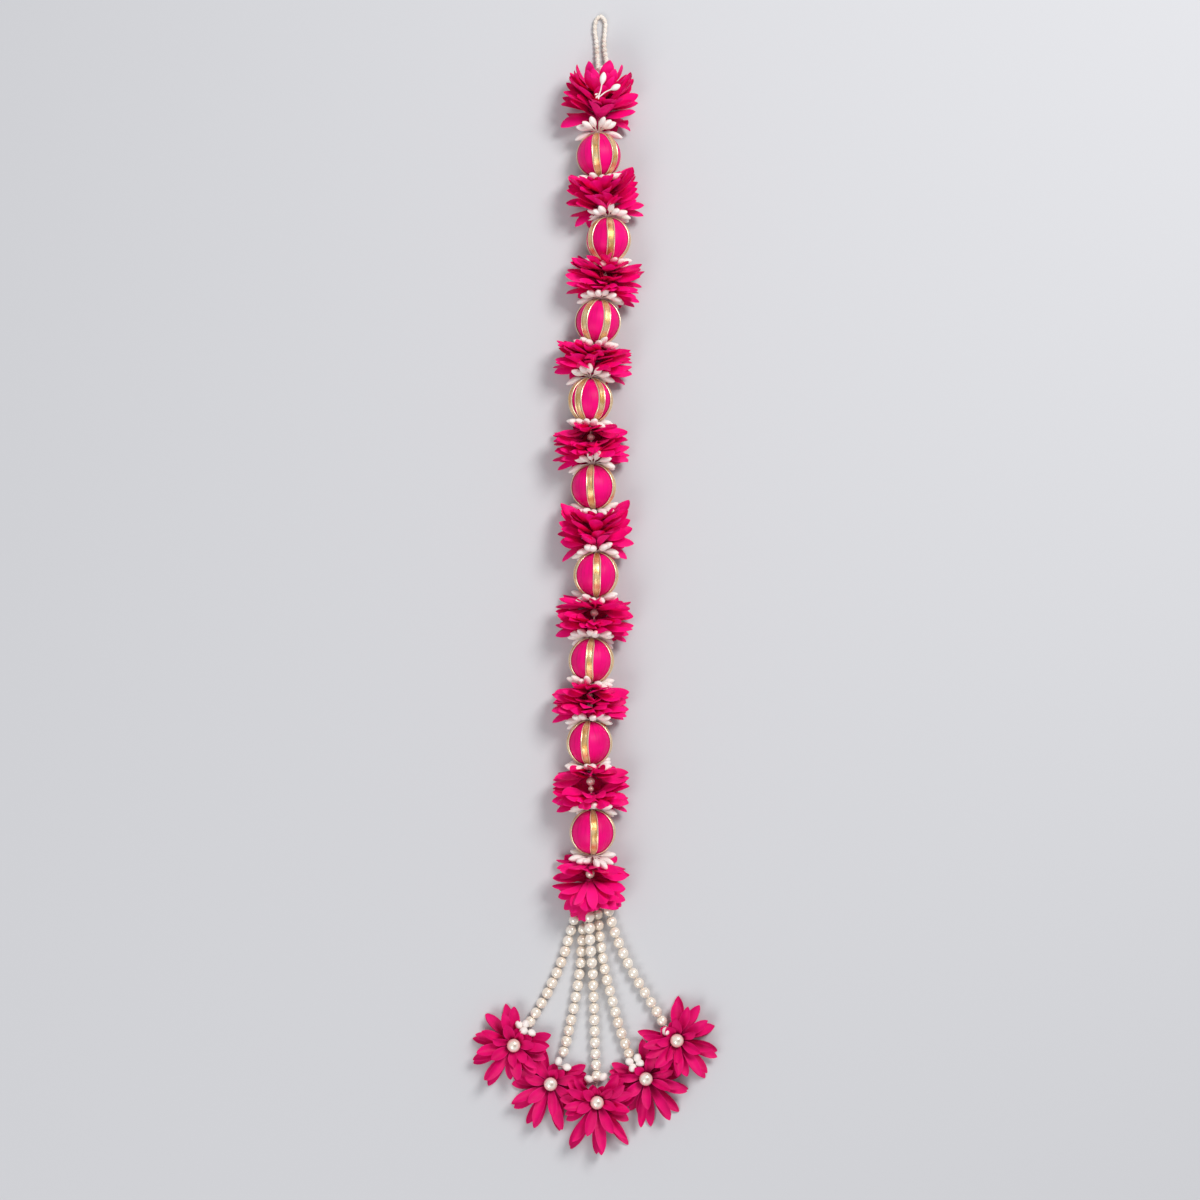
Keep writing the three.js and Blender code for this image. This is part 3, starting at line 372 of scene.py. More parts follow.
# %% The tone drift group
drift_group, given, wanted = new_group(
    "tone drift",
    [("Place", "Vector", None), ("Scale", "Float", 40.0), ("Light", "Color", None), ("Dark", "Color", None)],
    [("Color", "Color")],
)
drift = Nodes(drift_group)
clouds = drift.add("TexNoise", [(given["Place"], "Vector"), (given["Scale"], "Scale")], Detail=3.0)["Fac"]
both = [(drift.ramp(clouds, 0.35, 0.65), "Factor"), (given["Dark"], "A"), (given["Light"], "B")]
drift_group.links.new(drift.add("Mix", both, data_type="RGBA")[2], wanted["Color"])
print("node groups:", [g.name for g in bpy.data.node_groups])


# %% Starting a material
class Paint(Nodes):
    """A Principled shader whose colour comes from `tone drift` and whose relief comes from
    `cloth grain`. bump is (strength, distance in metres), and roughness (low, high) by the shade.
    Other values are set on the shader's own sockets."""

    def __init__(self, name, light, dark, drift, fineness, weave, bump, roughness, **shader):
        self.material = bpy.data.materials.new(name)
        self.material.use_nodes = True
        super().__init__(self.material.node_tree)
        self.shader = self.tree.nodes["Principled BSDF"].inputs
        for label, value in shader.items():
            self.shader[label.replace("_", " ")].default_value = value
        place = [(self.add("TexCoord")["Object"], "Place")]
        colours = {"Light": linear(*light), "Dark": linear(*dark)}
        self.tone = self.add("Group", place, node_tree=drift_group, Scale=drift, **colours)["Color"]
        self.tree.links.new(self.tone, self.shader["Base Color"])
        grain = self.add("Group", place, node_tree=grain_group, Fineness=fineness, Weave=weave)
        self.tree.links.new(self.ramp(grain["Shade"], 0.3, 0.7, *roughness), self.shader["Roughness"])
        self.under = []
        self.press(grain["Height"], *bump)

    def press(self, height, strength, distance):
        """Adds a relief over what there is."""
        relief = self.add("Bump", [(height, "Height")] + self.under, Strength=strength, Distance=distance)[0]
        self.tree.links.new(relief, self.shader["Normal"])
        self.under = [(relief, "Normal")]

    def surface_map(self):
        """The two numbers of a mesh's own map: across the shape, and along it."""
        split = self.add("SeparateXYZ", [(self.add("UVMap", uv_map="surface")[0], 0)])
        return split["X"], split["Y"]

    def shade(self, mask, colour):
        """Mixes a colour over the tone where the mask is 1."""
        links = [(mask, "Factor"), (self.tone, "A")]
        self.tone = self.add("Mix", links, data_type="RGBA", B=linear(*colour))[2]
        self.tree.links.new(self.tone, self.shader["Base Color"])


# %% Petal foam
SHEEN_TINT = linear(255, 90, 170)


def petal_foam(name, light, dark, painted_root_shade):
    """Foam darker towards the petal's root, a painted shade as deep as the last argument, and paler along
    its edge, a painted highlight.
    """
    foam = Paint(
        name, light, dark, drift=90, fineness=700, weave=0.0, bump=(0.2, 0.0002), roughness=(0.5, 0.68),
        Specular_IOR_Level=0.2, Sheen_Weight=0.04, Sheen_Roughness=0.4, Sheen_Tint=SHEEN_TINT,
    )
    across, along = foam.surface_map()
    # Painted shade: the petal is darker towards its root, where the petals overlap.
    foam.shade(foam.ramp(along, 0.05, 0.5, painted_root_shade, 0.0), (138, 0, 58))
    # Painted highlight: the petal is paler along its edge.
    foam.shade(foam.ramp(foam.maths("ABSOLUTE", across), 0.82, 1.0, 0.0, 0.4), (250, 50, 142))
    return foam.material


petal_material = petal_foam("petal foam", (254, 0, 130), (240, 0, 114), 0.6)
# Painted shade: the end flowers' foam is a darker copy of the petal foam, with deeper painted shade at the
# roots.
end_petal_painted_shade_material = petal_foam("end petal foam painted darker", (234, 0, 112), (214, 0, 98), 0.95)
print("petal foam:", len(petal_material.node_tree.nodes), "nodes")

# %% Silk
silk = Paint(
    "gathered silk", (246, 0, 124), (228, 0, 110),
    drift=60, fineness=1500, weave=0.25, bump=(0.12, 0.0002), roughness=(0.38, 0.5),
    Specular_IOR_Level=0.16, Sheen_Weight=0.03, Sheen_Roughness=0.3, Sheen_Tint=SHEEN_TINT,
)
stretched = silk.add("Mapping", [(silk.add("UVMap", uv_map="surface")[0], "Vector")], Scale=(46, 2.2, 1))[0]
threads = silk.add("TexNoise", [(stretched, "Vector")], Scale=1.0, Detail=4.0, Roughness=0.6)["Fac"]
silk.press(threads, 0.55, 0.0006)
silk.shade(silk.ramp(threads, 0.5, 0.72, 0.0, 0.45), (176, 2, 82))

# %% Gold braid
braid = Paint(
    "gold braid", (252, 226, 172), (224, 168, 98),
    drift=120, fineness=1800, weave=0.7, bump=(0.15, 0.0002), roughness=(0.24, 0.42), Metallic=0.7,
)
across, along = braid.surface_map()
side = braid.maths("ABSOLUTE", across)
ribs = braid.maths("SINE", braid.maths("MULTIPLY", across, 26.0))
picks = braid.maths("SINE", braid.maths("MULTIPLY", along, 150.0))
braid.press(braid.maths("MULTIPLY_ADD", picks, 0.3, ribs), 0.25, 0.0001)
braid.shade(braid.ramp(side, 0.68, 0.8), (250, 232, 196))
braid.shade(braid.maths("COMPARE", side, 0.64, 0.05), (176, 104, 58))

# %% Bud, pearl and cord
bud = Paint(
    "bud", (254, 248, 242), (248, 236, 229),
    drift=160, fineness=1100, weave=0.1, bump=(0.3, 0.0003), roughness=(0.45, 0.65), Sheen_Weight=0.1,
)
# Painted shade with a pink cast, towards the bud's foot where it sits among the petals.
bud.shade(bud.ramp(bud.surface_map()[1], 0.1, 0.5, 0.4, 0.0), (242, 214, 212))

pearl = Paint(
    "pearl coat", (255, 246, 232), (250, 233, 214),
    drift=55, fineness=240, weave=0.0, bump=(0.03, 0.0002), roughness=(0.2, 0.26),
    Metallic=0.3, Coat_Weight=0.9, Coat_Roughness=0.06,
)
_, along = pearl.surface_map()
# Painted shade: the pearl is darker at both poles, where the thread goes in and the next pearl meets it.
poles = pearl.maths("ADD", pearl.ramp(along, 0.04, 0.1, 0.7, 0.0), pearl.ramp(along, 0.9, 0.96, 0.0, 0.7))
pearl.shade(poles, (196, 164, 150))

cord = Paint(
    "twisted cord", (252, 246, 236), (232, 218, 202),
    drift=200, fineness=1600, weave=0.3, bump=(0.3, 0.0003), roughness=(0.55, 0.75), Sheen_Weight=0.2,
)
across, along = cord.surface_map()
yarns = cord.maths("MULTIPLY", across, 4 * 2 * math.pi)
twisted = cord.maths("SINE", cord.maths("MULTIPLY_ADD", along, 30.0, yarns))
cord.press(twisted, 0.4, 0.0003)
# Painted shade in the grooves between the twisted yarns.
cord.shade(cord.ramp(twisted, -1.0, -0.2, 0.25, 0.0), (186, 160, 138))
print("materials:", [m.name for m in bpy.data.materials if m.users])

# %% [markdown]
# ## The hanging loop
#
# One cord is doubled to an eye. Its legs are knotted every few millimetres, and come out of the
# knot at the garland's head, sink to the floor and lie there. It is a tube along a smooth path
# whose radius swells at each knot.

# %% The hanging loop
LOOP_ROUTE = np.array([
    (3.2, 389.6, 8.4), (2.9, 394.5, 5.2), (2.4, 400.5, 2.6), (2.1, 407.0, 2.0), (1.6, 413.5, 2.0),
    (0.6, 420.5, 2.0), (0.9, 426.0, 2.0), (2.2, 429.6, 2.0), (4.9, 431.2, 2.0), (7.4, 429.4, 2.0),
    (8.6, 425.6, 2.0), (8.3, 420.0, 2.0), (7.7, 413.5, 2.0), (7.9, 407.0, 2.0), (8.8, 400.5, 2.6),
    (9.8, 394.5, 5.2), (10.2, 389.6, 8.4),
])
LOOP_REST = 2.1
KNOT_PITCH = 3.7
EYE_FROM, EYE_EASE = 409.0, 8.0  # the knots give way to the smoother eye over this stretch
loop_line = even_line(LOOP_ROUTE, 0.3)
loop_run = run_lengths(loop_line)
in_eye = np.clip((loop_line[:, 1] - EYE_FROM) / EYE_EASE, 0, 1)
# A knot's lump rises from 0.14 at its ends to 1 at its middle, as an ellipse does. In the eye the
# lumps are lower, and three shallow ridges turn round the cord.
lump = np.sqrt(1 - 0.98 * (2 * np.mod(loop_run / KNOT_PITCH, 1) - 1) ** 2)
loop_radius = (0.72 + 1.2 * lump) * (1 - in_eye) + (1.0 + 0.6 * lump) * in_eye
loop_turn = np.linspace(0, 2 * np.pi, 13)
loop_lobes = 1 + 0.08 * in_eye[:, None] * np.cos(3 * loop_turn[None] + loop_run[:, None] * 1.5)
loop_line[:, 2] = np.maximum(loop_line[:, 2], LOOP_REST)
loop_piece = put_piece(
    "hanging_cord_loop",
    [
        tube(loop_line, loop_radius[:, None] * loop_lobes, 12),
        beads([(5.2, 432.0, 1.8)], [(0, 1, 0)], [1.2], 7, 10),
    ],
    cord.material, ["hanging_loop"], sharp=80,
)
print("loop cord %.0f mm" % loop_run[-1])

# %% [markdown]
# ## The pearl strands
#
# Each strand is a thread through pearls of one size. It starts at the gathering knot, comes down
# to the floor, runs under its flower and up through the flower's middle into one large pearl.
# Near the flower the thread also carries a small cluster of white buds.

# %% The strands' routes
# For each strand: its pearls from the knot down, the heights of those that aren't on the floor
# yet, the angle at which it leaves the knot, its flower's middle, and the tips of its cluster's
# buds as seen from that middle.
STRANDS = [
    dict(
        pearls=[(-15.1, -253.9), (-17.5, -262.1), (-19.8, -270.2), (-22.0, -278.2), (-24.9, -286.4),
                (-28.2, -294.5), (-31.9, -302.2), (-35.4, -309.8), (-39.8, -317.4), (-44.2, -324.9),
                (-48.5, -331.6)],
        heights=[6.6, 4.4], knot_angle=-62, tip=(-60.8, -348.5),
        buds=[(3.4, 15.8, 8.6), (7.6, 11.0, 9.6), (13.2, 9.0, 7.6), (9.0, 16.0, 8.8)],
    ),
    dict(
        pearls=[(-8.4, -261.2), (-9.0, -269.8), (-9.6, -278.2), (-10.0, -286.8), (-11.2, -295.6),
                (-12.3, -304.1), (-13.9, -312.8), (-15.4, -321.5), (-17.4, -330.2), (-19.1, -338.2),
                (-20.9, -346.3), (-23.1, -354.3)],
        heights=[4.2], knot_angle=-28, tip=(-32.9, -377.7),
        buds=[(5.9, 16.4, 8), (11.4, 12.0, 6)],
    ),
    dict(
        pearls=[(-3.7, -250.9), (-3.3, -259.6), (-3.0, -268.3), (-2.4, -277.2), (-1.7, -286.2),
                (-1.0, -295.1), (-0.7, -303.9), (-0.3, -312.7), (0.0, -321.4), (0.2, -330.2),
                (0.5, -338.8), (0.7, -347.4), (1.1, -356.0), (1.5, -364.4), (1.9, -372.6)],
        heights=[14.0, 12.2, 11.4, 10.9, 8.7, 5.4], knot_angle=0, tip=(2.3, -391.7),
        buds=[(-7.7, 17.6, 7), (5.6, 19.6, 7)],
    ),
    dict(
        pearls=[(2.6, -249.9), (3.4, -258.4), (4.3, -266.9), (5.4, -275.3), (6.6, -283.5),
                (8.1, -291.6), (9.8, -299.9), (12.0, -308.1), (14.1, -316.2), (16.2, -324.2),
                (18.2, -332.2), (20.7, -340.3), (23.6, -348.1), (26.4, -355.6)],
        heights=[5.2, 4.0], knot_angle=28, tip=(39.2, -373.8),
        buds=[(-11.6, 12.4, 7.6), (-6.4, 15.4, 8.6), (-9.6, 8.6, 8.4), (-4.6, 11.6, 9.4)],
    ),
    dict(
        pearls=[(11.2, -247.3), (13.3, -255.7), (15.8, -263.8), (18.8, -271.7), (22.1, -279.6),
                (25.7, -287.1), (29.7, -294.7), (34.0, -302.2), (38.5, -309.5), (43.1, -316.8),
                (47.6, -324.0), (51.6, -331.0)],
        heights=[6.6, 4.4], knot_angle=62, tip=(62.7, -344.8),
        buds=[(-8.4, 4.4, 13.5)],
    ),
]
PEARL_RADIUS = 4.1
THREAD_RADIUS = 0.6
END_PEARL_RADIUS = 5.1
KNOT_RADIUS = 3.2
TIP_HUB = 3.6
END_PEARL_HEIGHT = TIP_HUB + 2.9 + END_PEARL_RADIUS
print(sum(len(s["pearls"]) for s in STRANDS), "strand pearls")


# %% White buds
BUD_PROFILE = np.array([  # how far along the bud, and how wide it is there
    (0, 0), (0.01, 0.2), (0.3, 0.22), (0.43, 0.64), (0.57, 0.96),
    (0.71, 1.0), (0.84, 0.8), (0.94, 0.44), (1.0, 0.0),
])
BUD_FLATTENED = 0.12


def bud_shapes(roots, directions, lengths, radii, sides=8, bends=((0, 0, 0),)):
    """Drops on a thin stem: the middle line is root + direction s + bend (s / length)^2, the
    radius follows a profile, and the ring is flattened a little, so r(a) = r (1 - 0.12 sin^2 a)."""
    roots, directions = np.asarray(roots, float), unit(np.asarray(directions, float))
    lengths, radii = np.asarray(lengths, float)[:, None], np.asarray(radii, float)[:, None]
    at, wide = BUD_PROFILE[:, 0] * lengths, BUD_PROFILE[:, 1] * radii
    turn = np.linspace(0, 2 * np.pi, sides + 1)
    ring = rings_about(directions, turn, 1 - BUD_FLATTENED * np.sin(turn) ** 2)
    middle = roots[:, None] + directions[:, None] * at[..., None]
    middle = middle + np.asarray(bends)[:, None] * BUD_PROFILE[:, :1] ** 2
    points = middle[:, :, None] + ring * wide[:, :, None, None]
    points[..., 2] = np.maximum(points[..., 2], 0.15)
    return points, pair_up(turn / (2 * np.pi), BUD_PROFILE[:, :1])


# %% Threads, pearls and bud clusters
# The thread's last points, and where the buds stand: how far past the flower's middle, and how high.
THREAD_END = [(-9.0, 1.7), (-2.4, 1.5), (0.0, TIP_HUB), (0.0, END_PEARL_HEIGHT - 2.0)]
CLUSTER_ROOT = (-13.5, 2.4)
CLUSTER_BUD = (12.0, 3.3)  # length and radius

for number, strand in enumerate(STRANDS, 1):
    turn = math.radians(strand["knot_angle"])
    start = np.array(STRING_FOOT) + (KNOT_RADIUS + 0.6) * np.array([math.sin(turn), -math.cos(turn), 0])
    heights = strand["heights"] + [PEARL_RADIUS] * len(strand["pearls"])
    centres = np.array([(x, y, max(z, PEARL_RADIUS)) for (x, y), z in zip(strand["pearls"], heights)])
    tip = np.array([*strand["tip"], 0.0])
    towards = unit((tip - centres[-1]) * [1, 1, 0])
    *last, root = (tip + far * towards + [0, 0, z] for far, z in THREAD_END + [CLUSTER_ROOT])
    line = even_line(np.vstack([start, centres, last]), 1.2)
    line[:, 2] = np.maximum(line[:, 2], THREAD_RADIUS + 0.1)
    thread = put_piece(
        f"strand_thread_{number}", [tube(line, THREAD_RADIUS, 6, 0.3)],
        cord.material, [f"pearl_strand_{number}"],
    )
    axes = np.gradient(np.vstack([start, centres, tip]), axis=0)[1:-1]
    draw = np.random.default_rng(60 + number)
    sizes = PEARL_RADIUS * (1 + 0.02 * draw.uniform(-1, 1, len(centres)))
    pearls = put_piece(
        f"strand_pearls_{number}", [beads(centres, axes, sizes, stretch=1.06)], pearl.material
    )
    end_pearl = put_piece(
        f"end_pearl_{number}",
        [beads([tip + [0, 0, END_PEARL_HEIGHT]], [(0.25, 0.1, 1)], [END_PEARL_RADIUS], 19, 28, hole=0.04)],
        pearl.material,
    )
    aims = tip + np.array(strand["buds"]) - root
    lengths, radii = np.tile(CLUSTER_BUD, (len(aims), 1)).T
    cluster = put_piece(
        f"strand_buds_{number}", [bud_shapes(np.tile(root, (len(aims), 1)), aims, lengths, radii, 10)],
        bud.material,
    )

# %% [markdown]
# ## The silk balls
#
# Thin silk is pulled over each padded ball and gathered at its two poles. That leaves soft folds
# from pole to pole. The ball is a sphere whose radius rises and falls with the angle round it. It
# is pressed flat where it rests on the floor.


# %% The silk balls
def silk_ball(place, seed, rows=33, sides=96):
    """r = R + sum of small waves a_k sin(k u + p_k + t_k v) round the ball, which fade at the
    middle and grow to the poles, with a dimple at each pole. z is held above the floor."""
    draw = np.random.default_rng(seed)
    v = np.linspace(-np.pi / 2, np.pi / 2, rows)[:, None]
    u = np.linspace(0, 2 * np.pi, sides + 1)[None]
    fold = np.zeros(np.broadcast(v, u).shape)
    for k in (5, 8, 11, 15, 21):
        fold = fold + np.sin(k * u + draw.uniform(0, 6.28) + draw.uniform(-1.6, 1.6) * v) / math.sqrt(k)
    gather = 0.10 + 0.26 * (np.abs(v) / (np.pi / 2)) ** 1.5
    dimple = 1.6 * np.exp(-(((np.pi / 2 - np.abs(v)) / 0.12) ** 2))
    radius = BALL_RADIUS - 0.12 + gather * fold * np.cos(v) ** 0.3 - dimple
    points = around(place, radius * np.sin(v), radius * np.cos(v), np.degrees(u) + 0 * v)
    points[..., 2] = np.maximum(points[..., 2], 0.02)
    return points[None], pair_up(u / (2 * np.pi), v / np.pi + 0.5)


for i, length in enumerate(ball_lengths):
    ball = silk_ball(string_place(length), i + 1)
    put_piece(f"silk_ball_{i + 1}", [ball], silk.material, [f"ball_{i + 1}"], sharp=180)
print(len(BALLS), "silk balls")

# %% [markdown]
# ## The gold ribbons
#
# A ribbon is a flat braid with a raised piping along each edge. Each one runs over the ball from
# pole to pole and is gathered narrow at both. Its section is carried along that great circle.

# %% The gold ribbons
RIBBON_HALF = 2.9
ACROSS = np.array([-1, -0.96, -0.86, -0.76, -0.7, -0.35, 0, 0.35, 0.7, 0.76, 0.86, 0.96, 1, 0.5, -0.5, -1])
SECTION = np.array([0.1, 0.4, 0.6, 0.42, 0.26, 0.32, 0.34, 0.32, 0.26, 0.42, 0.6, 0.4, 0.1, -0.4, -0.4, 0.1])


def ribbons(place, angles, seed, rows=37):
    """For latitude v, the middle is R (cos v out + sin v along). A point at w across and h above
    is turned by w / R round the path and moved out by h, so the braid hugs the ball. The half
    width falls from its full size to 0.42 of it at the poles."""
    draw = np.random.default_rng(seed)
    origin, along, side, up = place
    v = np.radians(np.linspace(-80, 80, rows))
    grids = []
    for angle in angles:
        sway = draw.uniform(-2.5, 2.5) * np.sin(np.linspace(0, np.pi, rows)) + draw.uniform(-1.5, 1.5)
        turn = np.radians(angle + sway)[:, None]
        out = np.cos(turn) * up + np.sin(turn) * side
        radial = np.cos(v)[:, None] * out + np.sin(v)[:, None] * along
        across = np.cross(along, out)
        half = RIBBON_HALF * (1 - 0.58 * np.clip((np.abs(v) - 0.75) / 0.65, 0, 1))
        bend = (half[:, None] * ACROSS / BALL_RADIUS)[..., None]
        reach = (BALL_RADIUS + 0.28 + SECTION)[None, :, None]
        points = origin + reach * (np.cos(bend) * radial[:, None] + np.sin(bend) * across[:, None])
        points = capped(points, points[0].mean(0), points[-1].mean(0))
        points[..., 2] = np.maximum(points[..., 2], 0.1)
        run = np.concatenate([[0], np.linspace(0, 1, rows), [1]])
        grids.append((points[None], pair_up(ACROSS, run[:, None])))
    return grids


for i, (length, (_, _, angles)) in enumerate(zip(ball_lengths, BALLS)):
    strips = ribbons(string_place(length), angles, 20 + i)
    put_piece(f"ribbons_{i + 1}", strips, braid.material, [f"gold_trim_{i + 1}"])
print(sum(len(b[2]) for b in BALLS), "ribbons")

# %% [markdown]
# ## The rings of buds
#
# White buds ring the string above and below every ball, and spread like a fan. Those that face
# up lean far away from the ball, and those at the sides droop a little over it.

# %% The rings of buds
GAP = 0.3  # between neighbouring pieces of the solid model
RIBBON_THICK, RIBBON_END = 0.8, 75  # the solid ribbons end at this latitude of their ball
COLLAR_HALF = 0.6
COLLAR_MIDDLE = (BALL_RADIUS + GAP + RIBBON_THICK) * math.sin(math.radians(RIBBON_END)) + GAP + COLLAR_HALF
BUDS_PER_RING = 13
BUD_LENGTH, BUD_RADIUS = 17.4, 2.9
LEAN_BEHIND = -10
LEAN_ABOVE = [24, 24, 12, 14, 16, 16, 12, 12, 16]  # of the front buds over each ball, in degrees
LEAN_BELOW = [2, 2, 2, 2, 2, 2, 2, 2, 30]


def bud_ring(length, sign, front, seed):
    """Buds at even angles plus small draws. The lean away from the ball goes from LEAN_BEHIND at
    the back to front degrees in front, with cos(angle / 2)^3.4. Their tips bend by a few
    millimetres, towards the ball at the sides of an upper ring. None reaches below the floor."""
    draw, count = np.random.default_rng(seed), BUDS_PER_RING
    place = string_place(length)
    angle = np.arange(count) * 360 / count + draw.uniform(-8, 8, count) + draw.uniform(0, 28)
    facing = np.cos(np.radians(angle) / 2) ** 2
    ahead = facing**2
    spread = draw.uniform(-5, 14 if sign > 0 else 6, count)
    lean = np.radians(LEAN_BEHIND + (front - LEAN_BEHIND) * facing**1.7 + spread)[:, None]
    root = around(place, sign * COLLAR_MIDDLE, 1.2, angle)
    out = around(place, 0.0, 1.0, angle) - place[0]
    direction = out * np.cos(lean) + sign * place[1] * np.sin(lean)
    lengths = BUD_LENGTH + draw.uniform(-1.6, 1.0, count)
    lengths = np.minimum(lengths, (root[:, 2] - 0.6) / np.maximum(-direction[:, 2], 0.01))
    bend = draw.uniform(-1, 1, count)
    bend = bend - 4.6 * (1 - ahead) if sign > 0 else bend * (1.5 + 3 * ahead) - 1.5 * ahead
    radii = BUD_RADIUS + draw.uniform(-0.2, 0.2, count)
    buds = bud_shapes(root, direction, lengths, radii, bends=bend[:, None] * sign * place[1])
    return [buds, tube(stub(place, sign * COLLAR_MIDDLE, 0.55), 2.0, 10)]


for i, length in enumerate(ball_lengths):
    for word, sign, front in (("above", 1, LEAN_ABOVE[i]), ("below", -1, LEAN_BELOW[i])):
        ring = bud_ring(length, sign, front, 40 + 2 * i + sign)
        put_piece(f"buds_{word}_{i + 1}", ring, bud.material, [f"buds_{word}_ball_{i + 1}"])
print(2 * len(BALLS) * BUDS_PER_RING, "buds on the rings")

# %% [markdown]
# ## The petals
#
# A flower is a stack of petal discs cut from thin foam. Each petal starts flat at the disc's
# middle and curls. Its middle line is found by walking outwards in small steps while it turns,
# for all the petals of a flower at once. Close to the floor it may only sink as fast as its
# height allows, so it comes to lie flat. Then a cupped, pointed outline is put round that line.

# %% The walk along a petal
WALK_STEPS = 36
FLOOR_REST = 0.9
FLOOR_EASE = 5.0
HUB_RADIUS = 3.0


def walk_petals(origin, out, leaning, lay, lean, length):
    """Each step moves by ahead = cos(a) out + sin(a) leaning, where a runs evenly from lean[0] to
    lean[1]. Where that sinks faster than (height - rest) / ease, the direction's level part is
    turned towards lay until it doesn't. Returns the points and the directions."""
    at = origin + out * HUB_RADIUS
    points, heads = [], []
    for i in range(WALK_STEPS + 1):
        a = (lean[:, 0] + (lean[:, 1] - lean[:, 0]) * i / WALK_STEPS)[:, None]
        ahead = np.cos(a) * out + np.sin(a) * leaning
        sink = np.clip((at[:, 2] - FLOOR_REST) / FLOOR_EASE, 0, 1)
        flat = ahead * [1, 1, 0]
        level = np.sqrt(1 - sink**2)
        b = (flat * lay).sum(1)
        k = -b + np.sqrt(np.maximum(0, b**2 - (flat**2).sum(1) + level**2))
        laid = flat + k[:, None] * lay
        laid = laid / np.maximum(np.linalg.norm(laid, axis=1, keepdims=True), 1e-9) * level[:, None]
        laid[:, 2] = -sink
        ahead = np.where((-ahead[:, 2] > sink)[:, None], laid, ahead)
        points.append(at)
        heads.append(ahead)
        at = at + ahead * (length / WALK_STEPS)[:, None]
    return np.stack(points, 1), np.stack(heads, 1)


# %% The outline round the walk
STATIONS = np.array([0.0, 0.07, 0.22, 0.4, 0.57, 0.72, 0.84, 0.93, 0.98, 1.0])
RING_Q = np.array([-1.0, -0.5, 0.0, 0.5, 1.0, 0.0, -1.0])
RING_UNDER = np.array([0, 0, 0, 0, 0, 1, 0])
THICKNESS = 0.7


def petal_grid(walked, leaning, out, half, cup, twist, sway):
    """A ring at each station s: p + across (half w(s) q + sway s^2) + face (cup |q|^1.5 - crease -
    thickness under). w(s) widens as a smooth step and closes as (1 - t^3)^0.65 past the middle.
    The face is turned by twist about the walk, and level with the floor where that is near."""
    points, heads = walked
    index = np.round(STATIONS * WALK_STEPS).astype(int)
    at, ahead = points[:, index], heads[:, index]
    edge = np.cross(leaning, out)[:, None]
    across = unit(edge - (edge * ahead).sum(-1, keepdims=True) * ahead)
    room = np.clip((at[..., 2] - FLOOR_REST) / half[:, None], 0, 1)
    level = unit(np.cross(UP, ahead))
    level = level * np.sign((level * across).sum(-1, keepdims=True))
    share = np.clip(1 - room / np.maximum(np.abs(across[..., 2]), 1e-6), 0, 1)[..., None]
    across = unit(across * (1 - share) + level * share)
    face = unit(np.cross(ahead, across))
    turn = (twist[:, None] * np.minimum(1, STATIONS / 0.4) * np.clip((at[..., 2] - 4) / 6, 0, 1))[..., None]
    sine, cosine = np.sin(turn), np.cos(turn)
    across, face = across * cosine + face * sine, face * cosine - across * sine
    rise = np.clip(STATIONS / 0.62, 0, 1)
    width = 0.34 + 0.66 * rise**2 * (3 - 2 * rise)
    width = width * (1 - np.clip((STATIONS - 0.5) / 0.5, 0, 1) ** 3) ** 0.65
    width[0] = 0
    lift = cup[:, None, None] * np.abs(RING_Q) ** 1.5 * width[None, :, None]
    lift = lift - (0.2 * (RING_Q == 0) + THICKNESS * RING_UNDER) * np.minimum(1, width * 2)[None, :, None]
    side = half[:, None, None] * width[None, :, None] * RING_Q + (sway[:, None] * STATIONS**2)[..., None]
    grid = at[:, :, None] + across[:, :, None] * side[..., None] + face[:, :, None] * lift[..., None]
    grid[..., 2] = np.maximum(grid[..., 2], 0.15 + 0.35 * (1 - RING_UNDER))
    return grid, pair_up(RING_Q, STATIONS[:, None])


def petals_of(rows):
    """Walks the petals of the rows and outlines them. A row is the origin, out, leaning, lay, the
    leans of root and tip in degrees, the length, and then half width, cup, twist and sway."""
    origin, out, leaning, lay, lean, length, *outline = map(np.array, zip(*rows))
    walked = walk_petals(origin, out, leaning, lay, np.radians(lean), length)
    return petal_grid(walked, leaning, out, *outline)


print("a petal has", (len(STATIONS) - 1) * (len(RING_Q) - 1), "faces")

# %% [markdown]
# ## The flowers on the string
#
# Between two balls the discs are stacked down the string, some with a pearl bead between them.
# Three flowers are pushed open upwards and show a crown of petals. The others are seen edge on, as
# ruffles that part in front where a bead shows. The last one hangs down over the knot.

# %% What each flower looks like
# The lean of its petals' tips from the top disc to the lowest, in degrees, and the pearl beads
# that show in its front: how far each is up the string, and its radius.
FLOWERS = [
    ([98, 66, 44, 12, -50], []),
    ([66, 56, 44, 20, -54], []),
    ([56, 36, 12, -6, -48], [(4.1, 1.9), (-3.0, 2.5)]),
    ([34, 18, 6, -10, -44], []),
    ([16, 8, 2, -10, -44], [(5.0, 3.0)]),
    ([62, 54, 44, 16, -56], []),
    ([38, 14, 4, -10, -44], [(3.6, 3.0)]),
    ([16, 8, 2, -12, -46], [(4.6, 2.2), (-3.2, 2.4)]),
    ([12, 6, 0, -10, -42], [(4.6, 3.3), (-1.0, 2.2)]),
    ([10, 4, 0, -28, -62], [(4.7, 3.5)]),
]
CROWNS = (0, 1, 5)
KIND_LEANS = {  # of the front petals: the top disc's root, then the lowest disc's root and tip
    "crown": (None, 28, 18),
    "two beads": (8, 38, -24),
    "plain": (-8, 38, 8),
}
